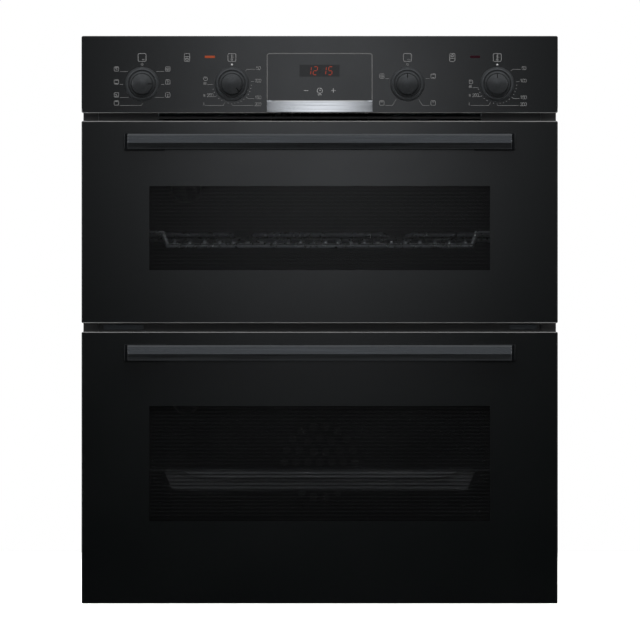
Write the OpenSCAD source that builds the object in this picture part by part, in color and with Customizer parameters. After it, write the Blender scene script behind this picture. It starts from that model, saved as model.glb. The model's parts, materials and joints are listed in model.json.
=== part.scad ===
// Built-under double oven: a small upper oven and a large lower oven, each behind its own
// drop-down glass door, below a control panel with four knobs and a clock.
// X runs to the right seen from the front, Y runs into the oven and Z runs up. The origin is
// on the underside of the runners, in the plane of the cabinet's front edges.

/* [Front] */
// Width of the doors and of the control panel
front_w = 594; // [590:1:598]
// Height of the whole oven
total_h = 717; // [715:1:720]
// Height of the control panel
panel_h = 96; // [95:1:98]
// Height of the lower door
lower_door_h = 339; // [336:1:341]
// Gap between the two doors
door_gap = 11; // [11:0.5:12]
// Gap between the upper door and the control panel, where the cooling air leaves
vent_gap = 10; // [9:0.5:10.5]
// Height of the lower door above the floor of the niche
toe_gap = 9; // [8.5:0.5:10]
// Distance from the cabinet's front edges to the front of the glass
front_depth = 22; // [22:0.5:24]
// Corner radius of the glass panes
glass_r = 2; // [1:0.5:4]

/* [Handles] */
// Length of a handle bar
handle_len = 478; // [440:1:500]
// Height of a handle bar
handle_h = 19.4; // [18:0.2:22]
// Distance from the glass to the front of the bar
handle_reach = 42; // [38:1:46]
// Distance from the top of a door down to the middle of its handle
handle_drop = 26; // [24:1:40]
// Width of a handle post
post_w = 51.7; // [30:0.1:60]

/* [Chassis] */
// Width of the chassis that goes into the niche
chassis_w = 560; // [558:1:562]
// Depth of the chassis behind the cabinet's front edges
body_depth = 540; // [536:1:560]
// Thickness of the sheet metal
sheet_t = 1; // [0.8:0.1:1.2]
// Radius of the cabinet screw holes in the side flanges
cabinet_screw_r = 2.25; // [2:0.05:2.5]

/* [Ovens] */
// Width inside both ovens
oven_w = 470; // [468:1:472]
// Depth inside both ovens
oven_depth = 410; // [405:1:415]
// Height inside the upper oven
upper_oven_h = 175; // [170:1:178]
// Height inside the lower oven
lower_oven_h = 245; // [240:1:250]
// Height of the wire shelf's front bar above the upper oven's floor
shelf_up = 58; // [50:1:60]
// Height of the pan's rim above the lower oven's floor
pan_up = 115.7; // [110:0.1:120]
// Depth of the pan
pan_deep = 26; // [22:1:34]

/* [Knobs] */
// Diameter of a knob's skirt
knob_d = 33.2; // [32:0.2:34.4]
// Diameter of the fixed ring round a knob
bezel_d = 43; // [42:0.5:46]
// Height of a knob above the panel
knob_h = 22; // [16:1:26]
// Distance of the inner knobs from the middle
inner_knob_x = 109.5; // [105:0.5:115]
// Distance of the outer knobs from the middle
outer_knob_x = 221.5; // [215:0.5:225]
// Height of the knobs above the panel's lower edge
knob_up = 36; // [34:1:40]

/* [Hidden] */
$fn = 48;
eps = 0.5;

// Heights of the front's lines, from the floor of the niche up
lower_bot = toe_gap;
lower_top = lower_bot + lower_door_h;
upper_bot = lower_top + door_gap;
panel_bot = total_h - panel_h;
upper_top = panel_bot - vent_gap;

// Planes of the front, in Y
glass_t = 4;
glass_front = -front_depth;
glass_back = glass_front + glass_t;
door_back = -4.5;
flange_t = 1.5;

// Chassis
half_w = chassis_w / 2;
chassis_top = total_h - 14;
flange_in = half_w - 4;
flange_out = half_w + 15;
frame_half = flange_in - 0.6;
frame_bot = toe_gap + 5;
frame_top = upper_top - 5.5;
trim_top = panel_bot + 15;
cabinet_screw_x = half_w + 9;
cabinet_screw_z = [180, 480];

// Oven spaces
half_oven = oven_w / 2;
upper_floor = upper_bot + 39;
upper_roof = upper_floor + upper_oven_h;
lower_floor = lower_bot + 51;
lower_roof = lower_floor + lower_oven_h;
oven_r = 14;
blanket_t = 20;
fan_z = (lower_floor + lower_roof) / 2;
oven_lamp_x = -170;
oven_lamp_drop = 42;

// Hinges: a pin along X near each door's lower front edge
hinge_y = glass_front + 10;
hinge_up = 10;
pin_r = 2;
pin_fit = 0.05;
arm_in = 253.5;
arm_out = 257;
arm_half = 3.1;
channel_in = 251;
channel_out = 260;
boss_r = 3.5;

// Knob and spindle
knob_z = panel_bot + knob_up;
knob_gap = 0.5;
spindle_r = 3;
spindle_end = -2;
knob_xs = [-outer_knob_x, -inner_knob_x, inner_knob_x, outer_knob_x];

// Slim indicator lamps, one for each oven
lamp_w = 12.8;
lamp_h = 2.9;
lamp_xs = [-143.4, 187.5];
lamp_z = panel_bot + 68.6;

// Racks, shelf and pan
rail_x = 223.5;
rail_r = 2.2;
upright_x = 227.5;
upright_r = 2.5;
shelf_front = 20;
shelf_back = 360;
shelf_side_x = 221.5;
shelf_r = 3;
joint_r = shelf_r + 0.1;
shelf_z = upper_floor + shelf_up;
shelf_side_z = shelf_z + 15;
pan_z = lower_floor + pan_up;
pan_t = 1.2;

// Grill element: loops of wire under each roof, whose ends pass through the back wall
grill_r = 3.2;
grill_lanes = 10;
grill_reach = 15;
grill_end_x = (grill_lanes - 1) * grill_reach;
grill_drop = 16;
probe_drop = 24;

// Cooling fan above the upper oven
duct_z = upper_roof + 27;
duct_h = 34;
blower_y = 330;
blower_r = 62;

// Back panel screws, as [x, z]
screw_spots = [for (z = [30, 210, 390, 560, 690], s = [-1, 1]) [s * (half_w - 12), z]];
gland_x = -180;
gland_z = 655;
gland_bore_r = 5;

// ---- Shapes that repeat -------------------------------------------------------------------

module box(x0, x1, y0, y1, z0, z1) {
    translate([x0, y0, z0]) cube([x1 - x0, y1 - y0, z1 - z0]);
}

module both_sides() {
    children();
    mirror([1, 0, 0]) children();
}

module rod_x(x0, x1, y, z, r) {
    translate([x0, y, z]) rotate([0, 90, 0]) cylinder(r = r, h = x1 - x0);
}

module rod_y(x, z, y0, y1, r) {
    translate([x, y0, z]) rotate([-90, 0, 0]) cylinder(r = r, h = y1 - y0);
}

module rod_z(x, y, z0, z1, r) {
    translate([x, y, z0]) cylinder(r = r, h = z1 - z0);
}

function corner(cx, cz, r, start) =
    [for (i = [0:4]) [cx + r * cos(start + i * 22.5), cz + r * sin(start + i * 22.5)]];

// Outline of a rectangle with round corners
function rounded(x0, x1, z0, z1, r) = concat(
    corner(x1 - r, z1 - r, r, 0),
    corner(x0 + r, z1 - r, r, 90),
    corner(x0 + r, z0 + r, r, 180),
    corner(x1 - r, z0 + r, r, 270)
);

// A plate that stands upright, facing the front, with round corners
module plate(x0, x1, z0, z1, y0, y1, r) {
    translate([0, y1, 0]) rotate([90, 0, 0])
        linear_extrude(y1 - y0) polygon(rounded(x0, x1, z0, z1, r));
}

// An outline in Y and Z, pulled along X
module along_x(x0, x1, outline) {
    translate([x0, 0, 0]) rotate([90, 0, 90]) linear_extrude(x1 - x0) polygon(outline);
}

// A profile of [radius, height] spun round an axis that points to the front
module turned(x, y, z, profile) {
    translate([x, y, z]) rotate([90, 0, 0]) rotate_extrude() polygon(profile);
}

// A row of upright slots cut through a wall that faces Y
module slots_y(x0, pitch, count, w, y0, y1, z0, z1) {
    for (i = [0:count - 1]) box(x0 + i * pitch, x0 + i * pitch + w, y0, y1, z0, z1);
}

// A quarter bend of wire round a centre in a level plane, from the +X side to the +Y side
module bend_level(x, y, z, bend, r, turn) {
    translate([x, y, z]) rotate([0, 0, turn])
        rotate_extrude(angle = 90) translate([bend, 0]) circle(r);
}

// ---- Chassis ------------------------------------------------------------------------------

module base_tray() {
    runner_in = 190;
    runner_out = 214;
    color("silver") difference() {
        union() {
            box(-half_w + sheet_t, half_w - sheet_t, 1, body_depth - sheet_t,
                toe_gap, toe_gap + sheet_t);
            both_sides() box(runner_in, runner_out, 100, 500, 0, toe_gap + eps * sheet_t);
        }
        both_sides() box(runner_in + 2, runner_out - 2, 102, 498, 2, toe_gap + 2);
        for (row = [0:2]) slots_y(-150, 26, 12, 14, 150 + row * 90, 156 + row * 90, 0, 20);
    }
}

module side_panel() {
    web_in = half_w - sheet_t;
    color("silver") difference() {
        union() {
            box(web_in, half_w, -flange_t, body_depth, toe_gap, chassis_top);
            box(flange_in, flange_out, -flange_t, 0, toe_gap + 3, chassis_top);
        }
        for (z = cabinet_screw_z) rod_y(cabinet_screw_x, z, -5, 5, cabinet_screw_r);
        for (y = [120, 270, 420]) rod_z(half_w + 5.5, y, 60, 580, 6);
        for (i = [0:9]) box(web_in - 1, half_w + 1, 380 + i * 12, 385 + i * 12, 630, 680);
    }
}

module left_side_panel() { mirror([1, 0, 0]) side_panel(); }

module right_side_panel() { side_panel(); }

module back_panel() {
    wall_in = body_depth - sheet_t;
    color("silver") difference() {
        box(-half_w + sheet_t, half_w - sheet_t, wall_in, body_depth,
            toe_gap + sheet_t, chassis_top);
        for (row = [0:1]) slots_y(-90, 15, 13, 6, wall_in - 1, body_depth + 1,
            600 + row * 42, 632 + row * 42);
        slots_y(-90, 15, 13, 6, wall_in - 1, body_depth + 1, 60, 100);
        for (spot = screw_spots) rod_y(spot[0], spot[1], wall_in - 1, body_depth + 1, 1.7);
        rod_y(gland_x, gland_z, wall_in - 1, body_depth + 1, 9);
    }
}

module top_cover() {
    color("silver") difference() {
        box(-half_w, half_w, 0, body_depth, chassis_top, chassis_top + sheet_t);
        for (row = [0:1], i = [0:14])
            box(-126 + i * 17, -118 + i * 17, 250 + row * 110, 340 + row * 110,
                chassis_top - 1, chassis_top + 3);
    }
}

module front_frame() {
    color("dimgray") difference() {
        plate(-frame_half, frame_half, frame_bot, frame_top, -flange_t, 0, 3);
        for (span = [[lower_floor, lower_roof], [upper_floor, upper_roof]])
            plate(-half_oven - 1, half_oven + 1, span[0] - 1, span[1] + 1, -5, 5, oven_r + 1);
        for (z = [lower_bot, upper_bot]) both_sides()
            box(arm_in - 1.5, arm_out + 1.5, -5, 5, z + hinge_up - 5, z + hinge_up + 5);
    }
}

module air_outlet_trim() {
    slot_half = 202;
    color("dimgray") {
        difference() {
            plate(-frame_half, frame_half, frame_top + 0.5, trim_top, -flange_t, 0, 1);
            plate(-slot_half, slot_half, upper_top + 1, trim_top - 4, -5, 5, 4);
        }
        box(-slot_half - 1, slot_half + 1, -flange_t, 0, upper_top + 3, upper_top + 6);
    }
}

module hinge_covers() {
    cover_z = upper_bot - 8.5;
    color("gray") {
        plate(-269.7, -219.8, cover_z, cover_z + 7, -flange_t - 1.5, -flange_t, 2.5);
        plate(237, 271, cover_z, cover_z + 7, -flange_t - 1.5, -flange_t, 2.5);
    }
}

// ---- Ovens --------------------------------------------------------------------------------

// Enamelled shell: a box open to the front, with a flange that lies behind the front frame
module oven_shell(z0, z1) {
    difference() {
        union() {
            plate(-half_oven - 1, half_oven + 1, z0 - 1, z1 + 1, 0, oven_depth + 1, oven_r + 1);
            plate(-half_oven - 15, half_oven + 15, z0 - 14, z1 + 14, 0, 1, 3);
        }
        plate(-half_oven, half_oven, z0, z1, -1, oven_depth, oven_r);
        rod_y(oven_lamp_x, z1 - oven_lamp_drop, oven_depth - 1, oven_depth + 5, 19);
        for (x = [-grill_end_x, grill_end_x])
            rod_y(x, z1 - grill_drop, oven_depth - 1, oven_depth + 5, grill_r + 0.6);
    }
}

module upper_cavity() {
    color("#2c2e33") oven_shell(upper_floor, upper_roof);
}

module lower_cavity() {
    color("#2c2e33") difference() {
        oven_shell(lower_floor, lower_roof);
        rod_y(0, fan_z, oven_depth - 1, oven_depth + 5, 7);
    }
}

// Mineral wool round an oven, with room for its lamp holder
module blanket(z0, z1) {
    difference() {
        box(-half_oven - blanket_t, half_oven + blanket_t, 4, oven_depth + blanket_t,
            z0 - blanket_t, z1 + blanket_t);
        box(-half_oven - 2, half_oven + 2, 3, oven_depth + 2, z0 - 9, z1 + 2);
        rod_y(oven_lamp_x, z1 - oven_lamp_drop, oven_depth, oven_depth + blanket_t + 1, 22);
        for (x = [-grill_end_x, grill_end_x])
            rod_y(x, z1 - grill_drop, oven_depth, oven_depth + blanket_t + 1, grill_r + 1);
    }
}

module upper_insulation() {
    color("khaki") blanket(upper_floor, upper_roof);
}

module lower_insulation() {
    color("khaki") difference() {
        blanket(lower_floor, lower_roof);
        rod_y(0, fan_z, oven_depth, oven_depth + blanket_t + 1, 10);
        for (x = [-60, 60]) rod_y(x, fan_z - 62, oven_depth, oven_depth + blanket_t + 1, 8);
    }
}

module door_seals() {
    color("#202020") for (span = [[lower_floor, lower_roof], [upper_floor, upper_roof]])
        difference() {
            plate(-half_oven - 12, half_oven + 12, span[0] - 12, span[1] + 12,
                door_back + 0.3, -flange_t, 18);
            plate(-half_oven - 4, half_oven + 4, span[0] - 4, span[1] + 4, -9, 5, 12);
        }
}

// Hinge arm: a foot behind the front frame, an arm through its slot and a pin in the door
module hinge_arm(z) {
    box(channel_in - 0.5, channel_out + 0.5, 0, 40, z - 8, z + 8);
    box(arm_in, arm_out, hinge_y, eps, z - arm_half, z + arm_half);
    rod_x(arm_in, arm_out, hinge_y, z, boss_r);
    rod_x(channel_in - 0.6, channel_out + 0.6, hinge_y, z, pin_r);
}

module hinge_arms() {
    color("silver") for (z = [lower_bot, upper_bot]) both_sides() hinge_arm(z + hinge_up);
}

// ---- Racks, shelf and pan -----------------------------------------------------------------

// One ladder of wires on each side wall; a load rests on the wire at each level
module side_rack(levels, z0, z1) {
    for (y = [60, 340]) rod_z(upright_x, y, z0 + 8, z1 - 12, upright_r);
    for (z = levels, dz = [0, 12]) rod_y(rail_x, z + dz, 14, 392, rail_r);
    for (y = [60, 340]) rod_x(upright_x - 0.5, half_oven, y, z0 + 18, 2);
}

module upper_side_racks() {
    level = shelf_side_z - shelf_r - rail_r - 0.3;
    color("silver") both_sides()
        side_rack([level - 38, level, level + 38], upper_floor, upper_roof);
}

module lower_side_racks() {
    level = pan_z - pan_t - rail_r - 0.3;
    color("silver") both_sides()
        side_rack([level - 38, level, level + 38, level + 76], lower_floor, lower_roof);
}

// Wires stand a little closer together near the middle of the shelf
function wire_x(u) = 15.3 * u + 0.19 * u * u;

module wire_shelf() {
    wire_r = 1.7;
    wire_z = shelf_z + shelf_r + wire_r - 0.6;
    bar_end = 190;
    rise = shelf_side_z - shelf_z;
    rise_run = 6;
    dip = 6.5;
    dip_out = [113, 107];
    dip_in = [81, 90];
    cross_y = shelf_back - 14;
    cross_z = wire_z + 3.6;
    hanger_x = shelf_side_x - 3.5;
    color("silver") {
        rod_x(-bar_end, bar_end, shelf_front, shelf_z, shelf_r);
        both_sides() {
            // Front corner: the bar rises at its end and meets the side rail
            translate([bar_end, shelf_front, shelf_z]) sphere(joint_r);
            translate([bar_end, shelf_front, shelf_z]) rotate([0, atan2(rise_run, rise), 0])
                cylinder(r = shelf_r, h = norm([rise, rise_run]));
            translate([bar_end + rise_run, shelf_front, shelf_side_z]) sphere(joint_r);
            rod_x(bar_end + rise_run, shelf_side_x - 10, shelf_front, shelf_side_z, shelf_r);
            bend_level(shelf_side_x - 10, shelf_front + 10, shelf_side_z, 10, shelf_r, -90);
            rod_y(shelf_side_x, shelf_side_z, shelf_front + 10, shelf_back - 10, shelf_r);
            bend_level(shelf_side_x - 10, shelf_back - 10, shelf_side_z, 10, shelf_r, 0);
            // Rear rail, which dips on each side
            rod_x(dip_out[0], shelf_side_x - 10, shelf_back, shelf_side_z, shelf_r);
            shelf_slope(dip_out[0], dip_out[1], dip);
            rod_x(dip_in[1], dip_out[1], shelf_back, shelf_side_z - dip, shelf_r);
            shelf_slope(dip_in[0], dip_in[1], dip);
            // Wires along the shelf, on the front bar and welded under the cross bar
            for (k = [1:11])
                rod_y(wire_x(k - 0.5), wire_z, shelf_front - 1, cross_y + 2, wire_r);
        }
        rod_x(-dip_in[0], dip_in[0], shelf_back, shelf_side_z, shelf_r);
        // Cross bar over the wires' rear ends, hung from the side rails
        rod_x(-hanger_x, hanger_x, cross_y, cross_z, 2.6);
        for (x = [-hanger_x, hanger_x]) rod_z(x, cross_y, cross_z, shelf_side_z, 2.3);
    }
}

// Slanting stretch of the shelf's rear rail, from the rail's height down into the dip
module shelf_slope(x_top, x_low, dip) {
    run = x_low - x_top;
    translate([x_top, shelf_back, shelf_side_z]) {
        sphere(joint_r);
        rotate([0, 180 - atan2(run, dip), 0]) cylinder(r = shelf_r, h = norm([run, dip]));
    }
    translate([x_low, shelf_back, shelf_side_z - dip]) sphere(joint_r);
}

// Block with sloping walls: its half width and depth grow by the draft toward the top
module pan_block(half, y0, y1, z0, z1, draft, r) {
    foot = half - draft - r;
    intersection() {
        translate([0, y1 + 1, 0]) rotate([90, 0, 0]) linear_extrude(y1 - y0 + 2)
            polygon(concat([[half, z1], [-half, z1]],
                corner(-foot, z0 + r, r, 180), corner(foot, z0 + r, r, 270)));
        along_x(-half - 1, half + 1,
            [[y0, z1], [y1, z1], [y1 - draft, z0], [y0 + draft, z0]]);
    }
}

// Front lip of the pan: full depth in the middle, running out in a curve toward each end
function lip_drop(t, deep) = -deep * (1 + cos(180 * t)) / 2;

function lip_outline(half, flat, deep) = concat(
    [for (t = [-1:0.2:0]) [(half - flat) * t - flat, lip_drop(t, deep)]],
    [for (t = [0:0.2:1]) [(half - flat) * t + flat, lip_drop(t, deep)]]
);

module universal_pan() {
    rim_half = 224.3;
    inner_half = 194.7;
    front = 20;
    back = 360;
    color("#3a3b40") difference() {
        union() {
            plate_level(-rim_half, rim_half, front, back, pan_z - pan_t, pan_z, 10);
            pan_block(inner_half, front + 4, back - 14, pan_z - pan_deep, pan_z - eps, 8, 7);
            translate([0, front + 1.5, pan_z - eps]) rotate([90, 0, 0])
                linear_extrude(1.5) polygon(lip_outline(179, 149, 9));
        }
        pan_block(inner_half - pan_t, front + 4 + pan_t, back - 14 - pan_t,
            pan_z - pan_deep + pan_t, pan_z + 1, 8, 6);
    }
}

// A level plate with round corners
module plate_level(x0, x1, y0, y1, z0, z1, r) {
    translate([0, 0, z0]) linear_extrude(z1 - z0) polygon(rounded(x0, x1, y0, y1, r));
}

// ---- Heating, lamps and fans --------------------------------------------------------------

// Half a turn of grill wire, between two lanes
module grill_turn(i, y, z, turn) {
    translate([(2 * i + 1) * grill_reach - grill_end_x, y, z]) rotate([0, 0, turn])
        rotate_extrude(angle = 180) translate([grill_reach, 0]) circle(grill_r);
}

module grill_loops(z) {
    near = 70;
    far = 330;
    for (i = [1:grill_lanes - 2])
        rod_y(2 * i * grill_reach - grill_end_x, z, near, far, grill_r);
    for (x = [-grill_end_x, grill_end_x]) rod_y(x, z, near, oven_depth + 6, grill_r);
    for (i = [0:2:grill_lanes - 2]) grill_turn(i, near, z, 180);
    for (i = [1:2:grill_lanes - 3]) grill_turn(i, far, z, 0);
}

module grill_elements() {
    color("#3b3a3a") {
        grill_loops(upper_roof - grill_drop);
        grill_loops(lower_roof - grill_drop);
    }
}

// Flat heaters pressed against the underside of each oven floor
module bottom_elements() {
    color("#55524f") for (z = [lower_floor, upper_floor])
        difference() {
            plate_level(-180, 180, 60, 350, z - 7, z - 1.2, 30);
            plate_level(-168, 168, 72, 338, z - 8, z, 22);
        }
}

module ring_element() {
    ring = 84;
    wire = 3.2;
    ring_y = oven_depth - 20;
    color("#3b3a3a") {
        translate([0, ring_y, fan_z]) rotate([90, 0, 0])
            rotate_extrude() translate([ring, 0]) circle(wire);
        for (x = [-60, 60]) rod_y(x, fan_z - 62, ring_y + 0.5, oven_depth - 0.2, wire);
        for (x = [-60, 60]) rod_y(x, fan_z - 60, ring_y, ring_y + 6, wire);
    }
}

module fan_baffle() {
    front = oven_depth - 42;
    half = 150;
    color("#34363b") difference() {
        plate(-half, half, lower_floor + 28, lower_roof - 28, front, oven_depth, 20);
        plate(-half + 1.2, half - 1.2, lower_floor + 29.2, lower_roof - 29.2,
            front + 1.2, oven_depth + 1, 19);
        for (ring = [0:3], i = [0:max(0, ring * 6 - 1)])
            rod_y(ring * 15 * cos(i * 60 / max(ring, 1)),
                fan_z + ring * 15 * sin(i * 60 / max(ring, 1)), front - 1, front + 2, 5);
        for (side = [-1, 1], z = [-60:20:60])
            rod_y(side * 120, fan_z + z, front - 1, front + 2, 6);
    }
}

module convection_fan_wheel() {
    hub_y = oven_depth - 33;
    color("silver") {
        rod_y(0, fan_z, hub_y + 20, hub_y + 21.2, 66);
        rod_y(0, fan_z, hub_y + 8, hub_y + 21, 11);
        rod_y(0, fan_z, hub_y + 10, oven_depth + 60, spindle_r);
        for (i = [0:11]) translate([0, 0, fan_z]) rotate([0, i * 30, 0])
            box(38, 65, hub_y + 2, hub_y + 20.5, -0.8, 0.8);
    }
}

module convection_motor() {
    color("#6b6b6b") difference() {
        union() {
            rod_y(0, fan_z, oven_depth + blanket_t + 3, oven_depth + blanket_t + 52, 34);
            box(-44, 44, oven_depth + blanket_t + 1, oven_depth + blanket_t + 4,
                fan_z - 30, fan_z + 30);
            box(-24, 24, oven_depth + blanket_t + 10, oven_depth + blanket_t + 42,
                fan_z + 20, fan_z + 56);
        }
        rod_y(0, fan_z, oven_depth, oven_depth + 62, spindle_r + pin_fit);
    }
}

module oven_lamp_lenses() {
    color("white") for (z = [lower_roof, upper_roof])
        translate([oven_lamp_x, oven_depth + 2, z - oven_lamp_drop]) rotate([90, 0, 0])
            rotate_extrude() polygon([[0, 0], [18.5, 0], [18.5, 4], [17, 8], [12, 12], [0, 14]]);
}

module oven_lamp_holders() {
    color("#d8d4c8") for (z = [lower_roof, upper_roof]) {
        rod_y(oven_lamp_x, z - oven_lamp_drop, oven_depth + 2, oven_depth + 26, 20);
        rod_y(oven_lamp_x, z - oven_lamp_drop, oven_depth + 25, oven_depth + 44, 13);
        box(oven_lamp_x - 6, oven_lamp_x + 6, oven_depth + 40, oven_depth + 52,
            z - oven_lamp_drop - 4, z - oven_lamp_drop + 4);
    }
}

module temperature_probes() {
    color("#b87333") for (z = [lower_roof, upper_roof]) {
        rod_x(40, 125, oven_depth - 8, z - probe_drop, 2);
        for (x = [52, 113]) rod_y(x, z - probe_drop, oven_depth - 8, oven_depth, 1.5);
    }
}

// Outline of the blower and of the duct that widens toward the outlet slot
function duct_outline(inset) = concat(
    [[-202 + inset, 2], [202 - inset, 2], [202 - inset, 60], [95 - inset, 225]],
    [for (a = [0:15:180]) [(95 - inset) * cos(a), blower_y + (95 - inset) * sin(a)]],
    [[inset - 95, 225], [inset - 202, 60]]
);

module cooling_fan_housing() {
    color("silver") difference() {
        translate([0, 0, duct_z]) linear_extrude(duct_h) polygon(duct_outline(0));
        difference() {
            translate([0, 0, duct_z + sheet_t]) linear_extrude(duct_h - 2 * sheet_t)
                polygon(duct_outline(sheet_t));
            box(-203, 203, 1, 1.5, duct_z, duct_z + duct_h);
        }
        box(-200, 200, 0, 4, duct_z + sheet_t, duct_z + duct_h - sheet_t);
        rod_z(0, blower_y, duct_z + duct_h - 3, duct_z + duct_h + 3, 46);
    }
}

module cooling_fan_impeller() {
    low = duct_z + 4;
    color("#4a4d52") {
        rod_z(0, blower_y, low, low + 1.5, blower_r);
        rod_z(0, blower_y, low + 1, low + 12, 9);
        rod_z(0, blower_y, low + 5, low + 58, spindle_r);
        for (i = [0:23]) translate([0, blower_y, 0]) rotate([0, 0, i * 15])
            translate([49, 0, 0]) rotate([0, 0, 35]) box(-1, 14, -0.6, 0.6, low + 1, low + 24);
    }
}

module cooling_fan_motor() {
    low = duct_z + duct_h + 6;
    color("#6b6b6b") difference() {
        union() {
            rod_z(0, blower_y, low, low + 30, 31);
            for (a = [30, 150, 270]) translate([0, blower_y, 0]) rotate([0, 0, a])
                box(26, 60, -6, 6, low, low + 2);
            for (a = [30, 150, 270]) translate([0, blower_y, 0]) rotate([0, 0, a])
                box(52, 60, -6, 6, duct_z + duct_h, low + 1);
        }
        rod_z(0, blower_y, low - 1, low + 26, spindle_r + pin_fit);
    }
}

// ---- Control panel ------------------------------------------------------------------------

module control_fascia() {
    color("#1c1d20") difference() {
        plate(-front_w / 2, front_w / 2, panel_bot, total_h, glass_front, glass_back, glass_r);
        for (x = knob_xs) rod_y(x, knob_z, glass_front - 1, glass_back + 1, 5);
        for (x = lamp_xs)
            box(x, x + lamp_w, glass_front - 1, glass_back + 1, lamp_z, lamp_z + lamp_h);
    }
}

module control_carrier() {
    low = trim_top + 1;
    color("silver") difference() {
        union() {
            box(-285, 285, glass_back, glass_back + sheet_t, low, chassis_top);
            box(-285, 285, glass_back, -flange_t, low, low + sheet_t);
            box(-285, 285, glass_back, 0, chassis_top, chassis_top + sheet_t);
            both_sides() box(284, 285, glass_back, -flange_t, low, chassis_top + eps);
        }
        box(-34, 34, glass_back - 1, glass_back + 2, low + 18, low + 62);
        for (x = knob_xs) rod_y(x, knob_z, glass_back - 1, glass_back + 2, 4);
        for (x = lamp_xs)
            box(x - 1, x + lamp_w + 1, glass_back - 1, glass_back + 2,
                lamp_z - 1, lamp_z + lamp_h + 1);
    }
}

module display_frame() {
    line = 1.6;
    half = 66;
    frame_z = panel_bot + 74.8;
    color("silver") difference() {
        plate(-half, half, panel_bot + 15.5, frame_z, glass_front - 0.4, glass_front, 4);
        plate(line - half, half - line, panel_bot + 10, frame_z - line,
            glass_front - 1, glass_front + 1, 3);
    }
}

module trim_strip() {
    color("silver") box(-66, 66, glass_front - 1, glass_front, panel_bot + 0.5, panel_bot + 15.5);
}

module display_module() {
    color("#101012") {
        box(-32, 32, glass_back + 0.2, -5.5, panel_bot + 38, panel_bot + 66);
    }
}

module control_board() {
    color("#2c5a3c") box(-75, 75, -5.5, -3.9, panel_bot + 22, panel_bot + 76);
    color("#202020") {
        for (x = [-66, 50]) box(x, x + 14, -4, 12, panel_bot + 30, panel_bot + 46);
        box(-30, 20, -4, 8, panel_bot + 28, panel_bot + 38);
    }
}

module indicator_lamps() {
    color("#c0401c") for (x = lamp_xs)
        box(x + 0.1, x + lamp_w - 0.1, glass_front - 0.3, glass_back + 4,
            lamp_z + 0.1, lamp_z + lamp_h - 0.1);
}

module knob_bezels() {
    color("#4c4f55") for (x = knob_xs)
        turned(x, glass_front, knob_z, [[knob_d / 2 + knob_gap, 0], [bezel_d / 2, 0],
            [bezel_d / 2, 1.2], [knob_d / 2 + 1.4, 5], [knob_d / 2 + knob_gap, 5]]);
}

// Knob: a skirt, a groove and a domed cap with an indicator mark, on a steel spindle
module knob(x, turn) {
    skirt_r = knob_d / 2;
    cap_r = 12.8;
    difference() {
        turned(x, glass_front - 0.6, knob_z, [[0, 0], [skirt_r, 0], [skirt_r, 3.6],
            [skirt_r - 0.5, 4.2], [cap_r + 1, 6], [cap_r + 0.8, 4.8], [cap_r, 4.8],
            [cap_r, knob_h - 6], [cap_r - 0.6, knob_h - 4.2], [cap_r - 2.6, knob_h - 2.6],
            [cap_r - 6, knob_h - 1.4], [0, knob_h - 0.6]]);
        translate([x, 0, knob_z]) rotate([0, turn, 0])
            box(-0.5, 0.5, glass_front - knob_h - 1, glass_front - knob_h + 4, 9, 15);
    }
    rod_y(x, knob_z, glass_front - 3, spindle_end, spindle_r);
}

module lower_function_knob() { color("#3a3c41") knob(-outer_knob_x, 90); }

module lower_temperature_knob() { color("#3a3c41") knob(-inner_knob_x, 135); }

module upper_function_knob() { color("#3a3c41") knob(inner_knob_x, 0); }

module upper_temperature_knob() { color("#3a3c41") knob(outer_knob_x, 0); }

module selector_switches() {
    color("#e8e4d8") for (x = [-outer_knob_x, inner_knob_x]) difference() {
        union() {
            box(x - 19, x + 19, glass_back + sheet_t, 14, knob_z - 17, knob_z + 17);
            for (row = [0:2], col = [-1, 1])
                box(x + col * 12 - 0.4, x + col * 12 + 0.4, 13, 20,
                    knob_z - 13 + row * 11, knob_z - 7 + row * 11);
        }
        rod_y(x, knob_z, glass_back, 2, spindle_r + pin_fit);
    }
}

module thermostats() {
    color("#9a958a") for (x = [-inner_knob_x, outer_knob_x]) difference() {
        union() {
            rod_y(x, knob_z, glass_back + sheet_t, 16, 17);
            box(x - 17, x + 17, -12, 8, knob_z - 19, knob_z + 19);
            rod_y(x + 10, knob_z + 6, 15, 34, 1.6);
        }
        rod_y(x, knob_z, glass_back, 2, spindle_r + pin_fit);
    }
}

// ---- Rear fittings ------------------------------------------------------------------------

module terminal_block() {
    color("#e8e8e4") difference() {
        box(gland_x - 34, gland_x + 34, body_depth - 60, body_depth - 36, gland_z - 16, gland_z + 12);
        for (i = [-2:2])
            rod_z(gland_x + i * 13, body_depth - 48, gland_z + 3, gland_z + 13, 4);
    }
    color("silver") box(gland_x - 40, gland_x + 40, body_depth - 36, body_depth - sheet_t,
        gland_z - 30, gland_z - 29);
    color("silver") box(gland_x - 40, gland_x + 40, body_depth - 60, body_depth - 35,
        gland_z - 30, gland_z - 15.5);
}

module cable_gland() {
    color("#1f1f1f") difference() {
        union() {
            rod_y(gland_x, gland_z, body_depth - 20, body_depth + 1, 8.8);
            rod_y(gland_x, gland_z, body_depth, body_depth + 8, 13);
        }
        rod_y(gland_x, gland_z, body_depth - 30, body_depth + 10, gland_bore_r);
    }
}

module housing_screws() {
    color("silver") for (spot = screw_spots) {
        translate([spot[0], body_depth, spot[1]]) rotate([-90, 0, 0])
            rotate_extrude() polygon([[0, 0], [4, 0], [4, 1.2], [2.8, 2.4], [0, 2.8]]);
        rod_y(spot[0], spot[1], body_depth - 8, body_depth + eps, 1.5);
    }
}

// ---- Doors --------------------------------------------------------------------------------

module outer_glass(bot, top) {
    plate(-front_w / 2, front_w / 2, bot, top, glass_front, glass_back, glass_r);
}

module inner_glass(bot, top) {
    plate(-255, 255, bot + 24, top - 14, door_back - 3.5, door_back, 3);
}

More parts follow.
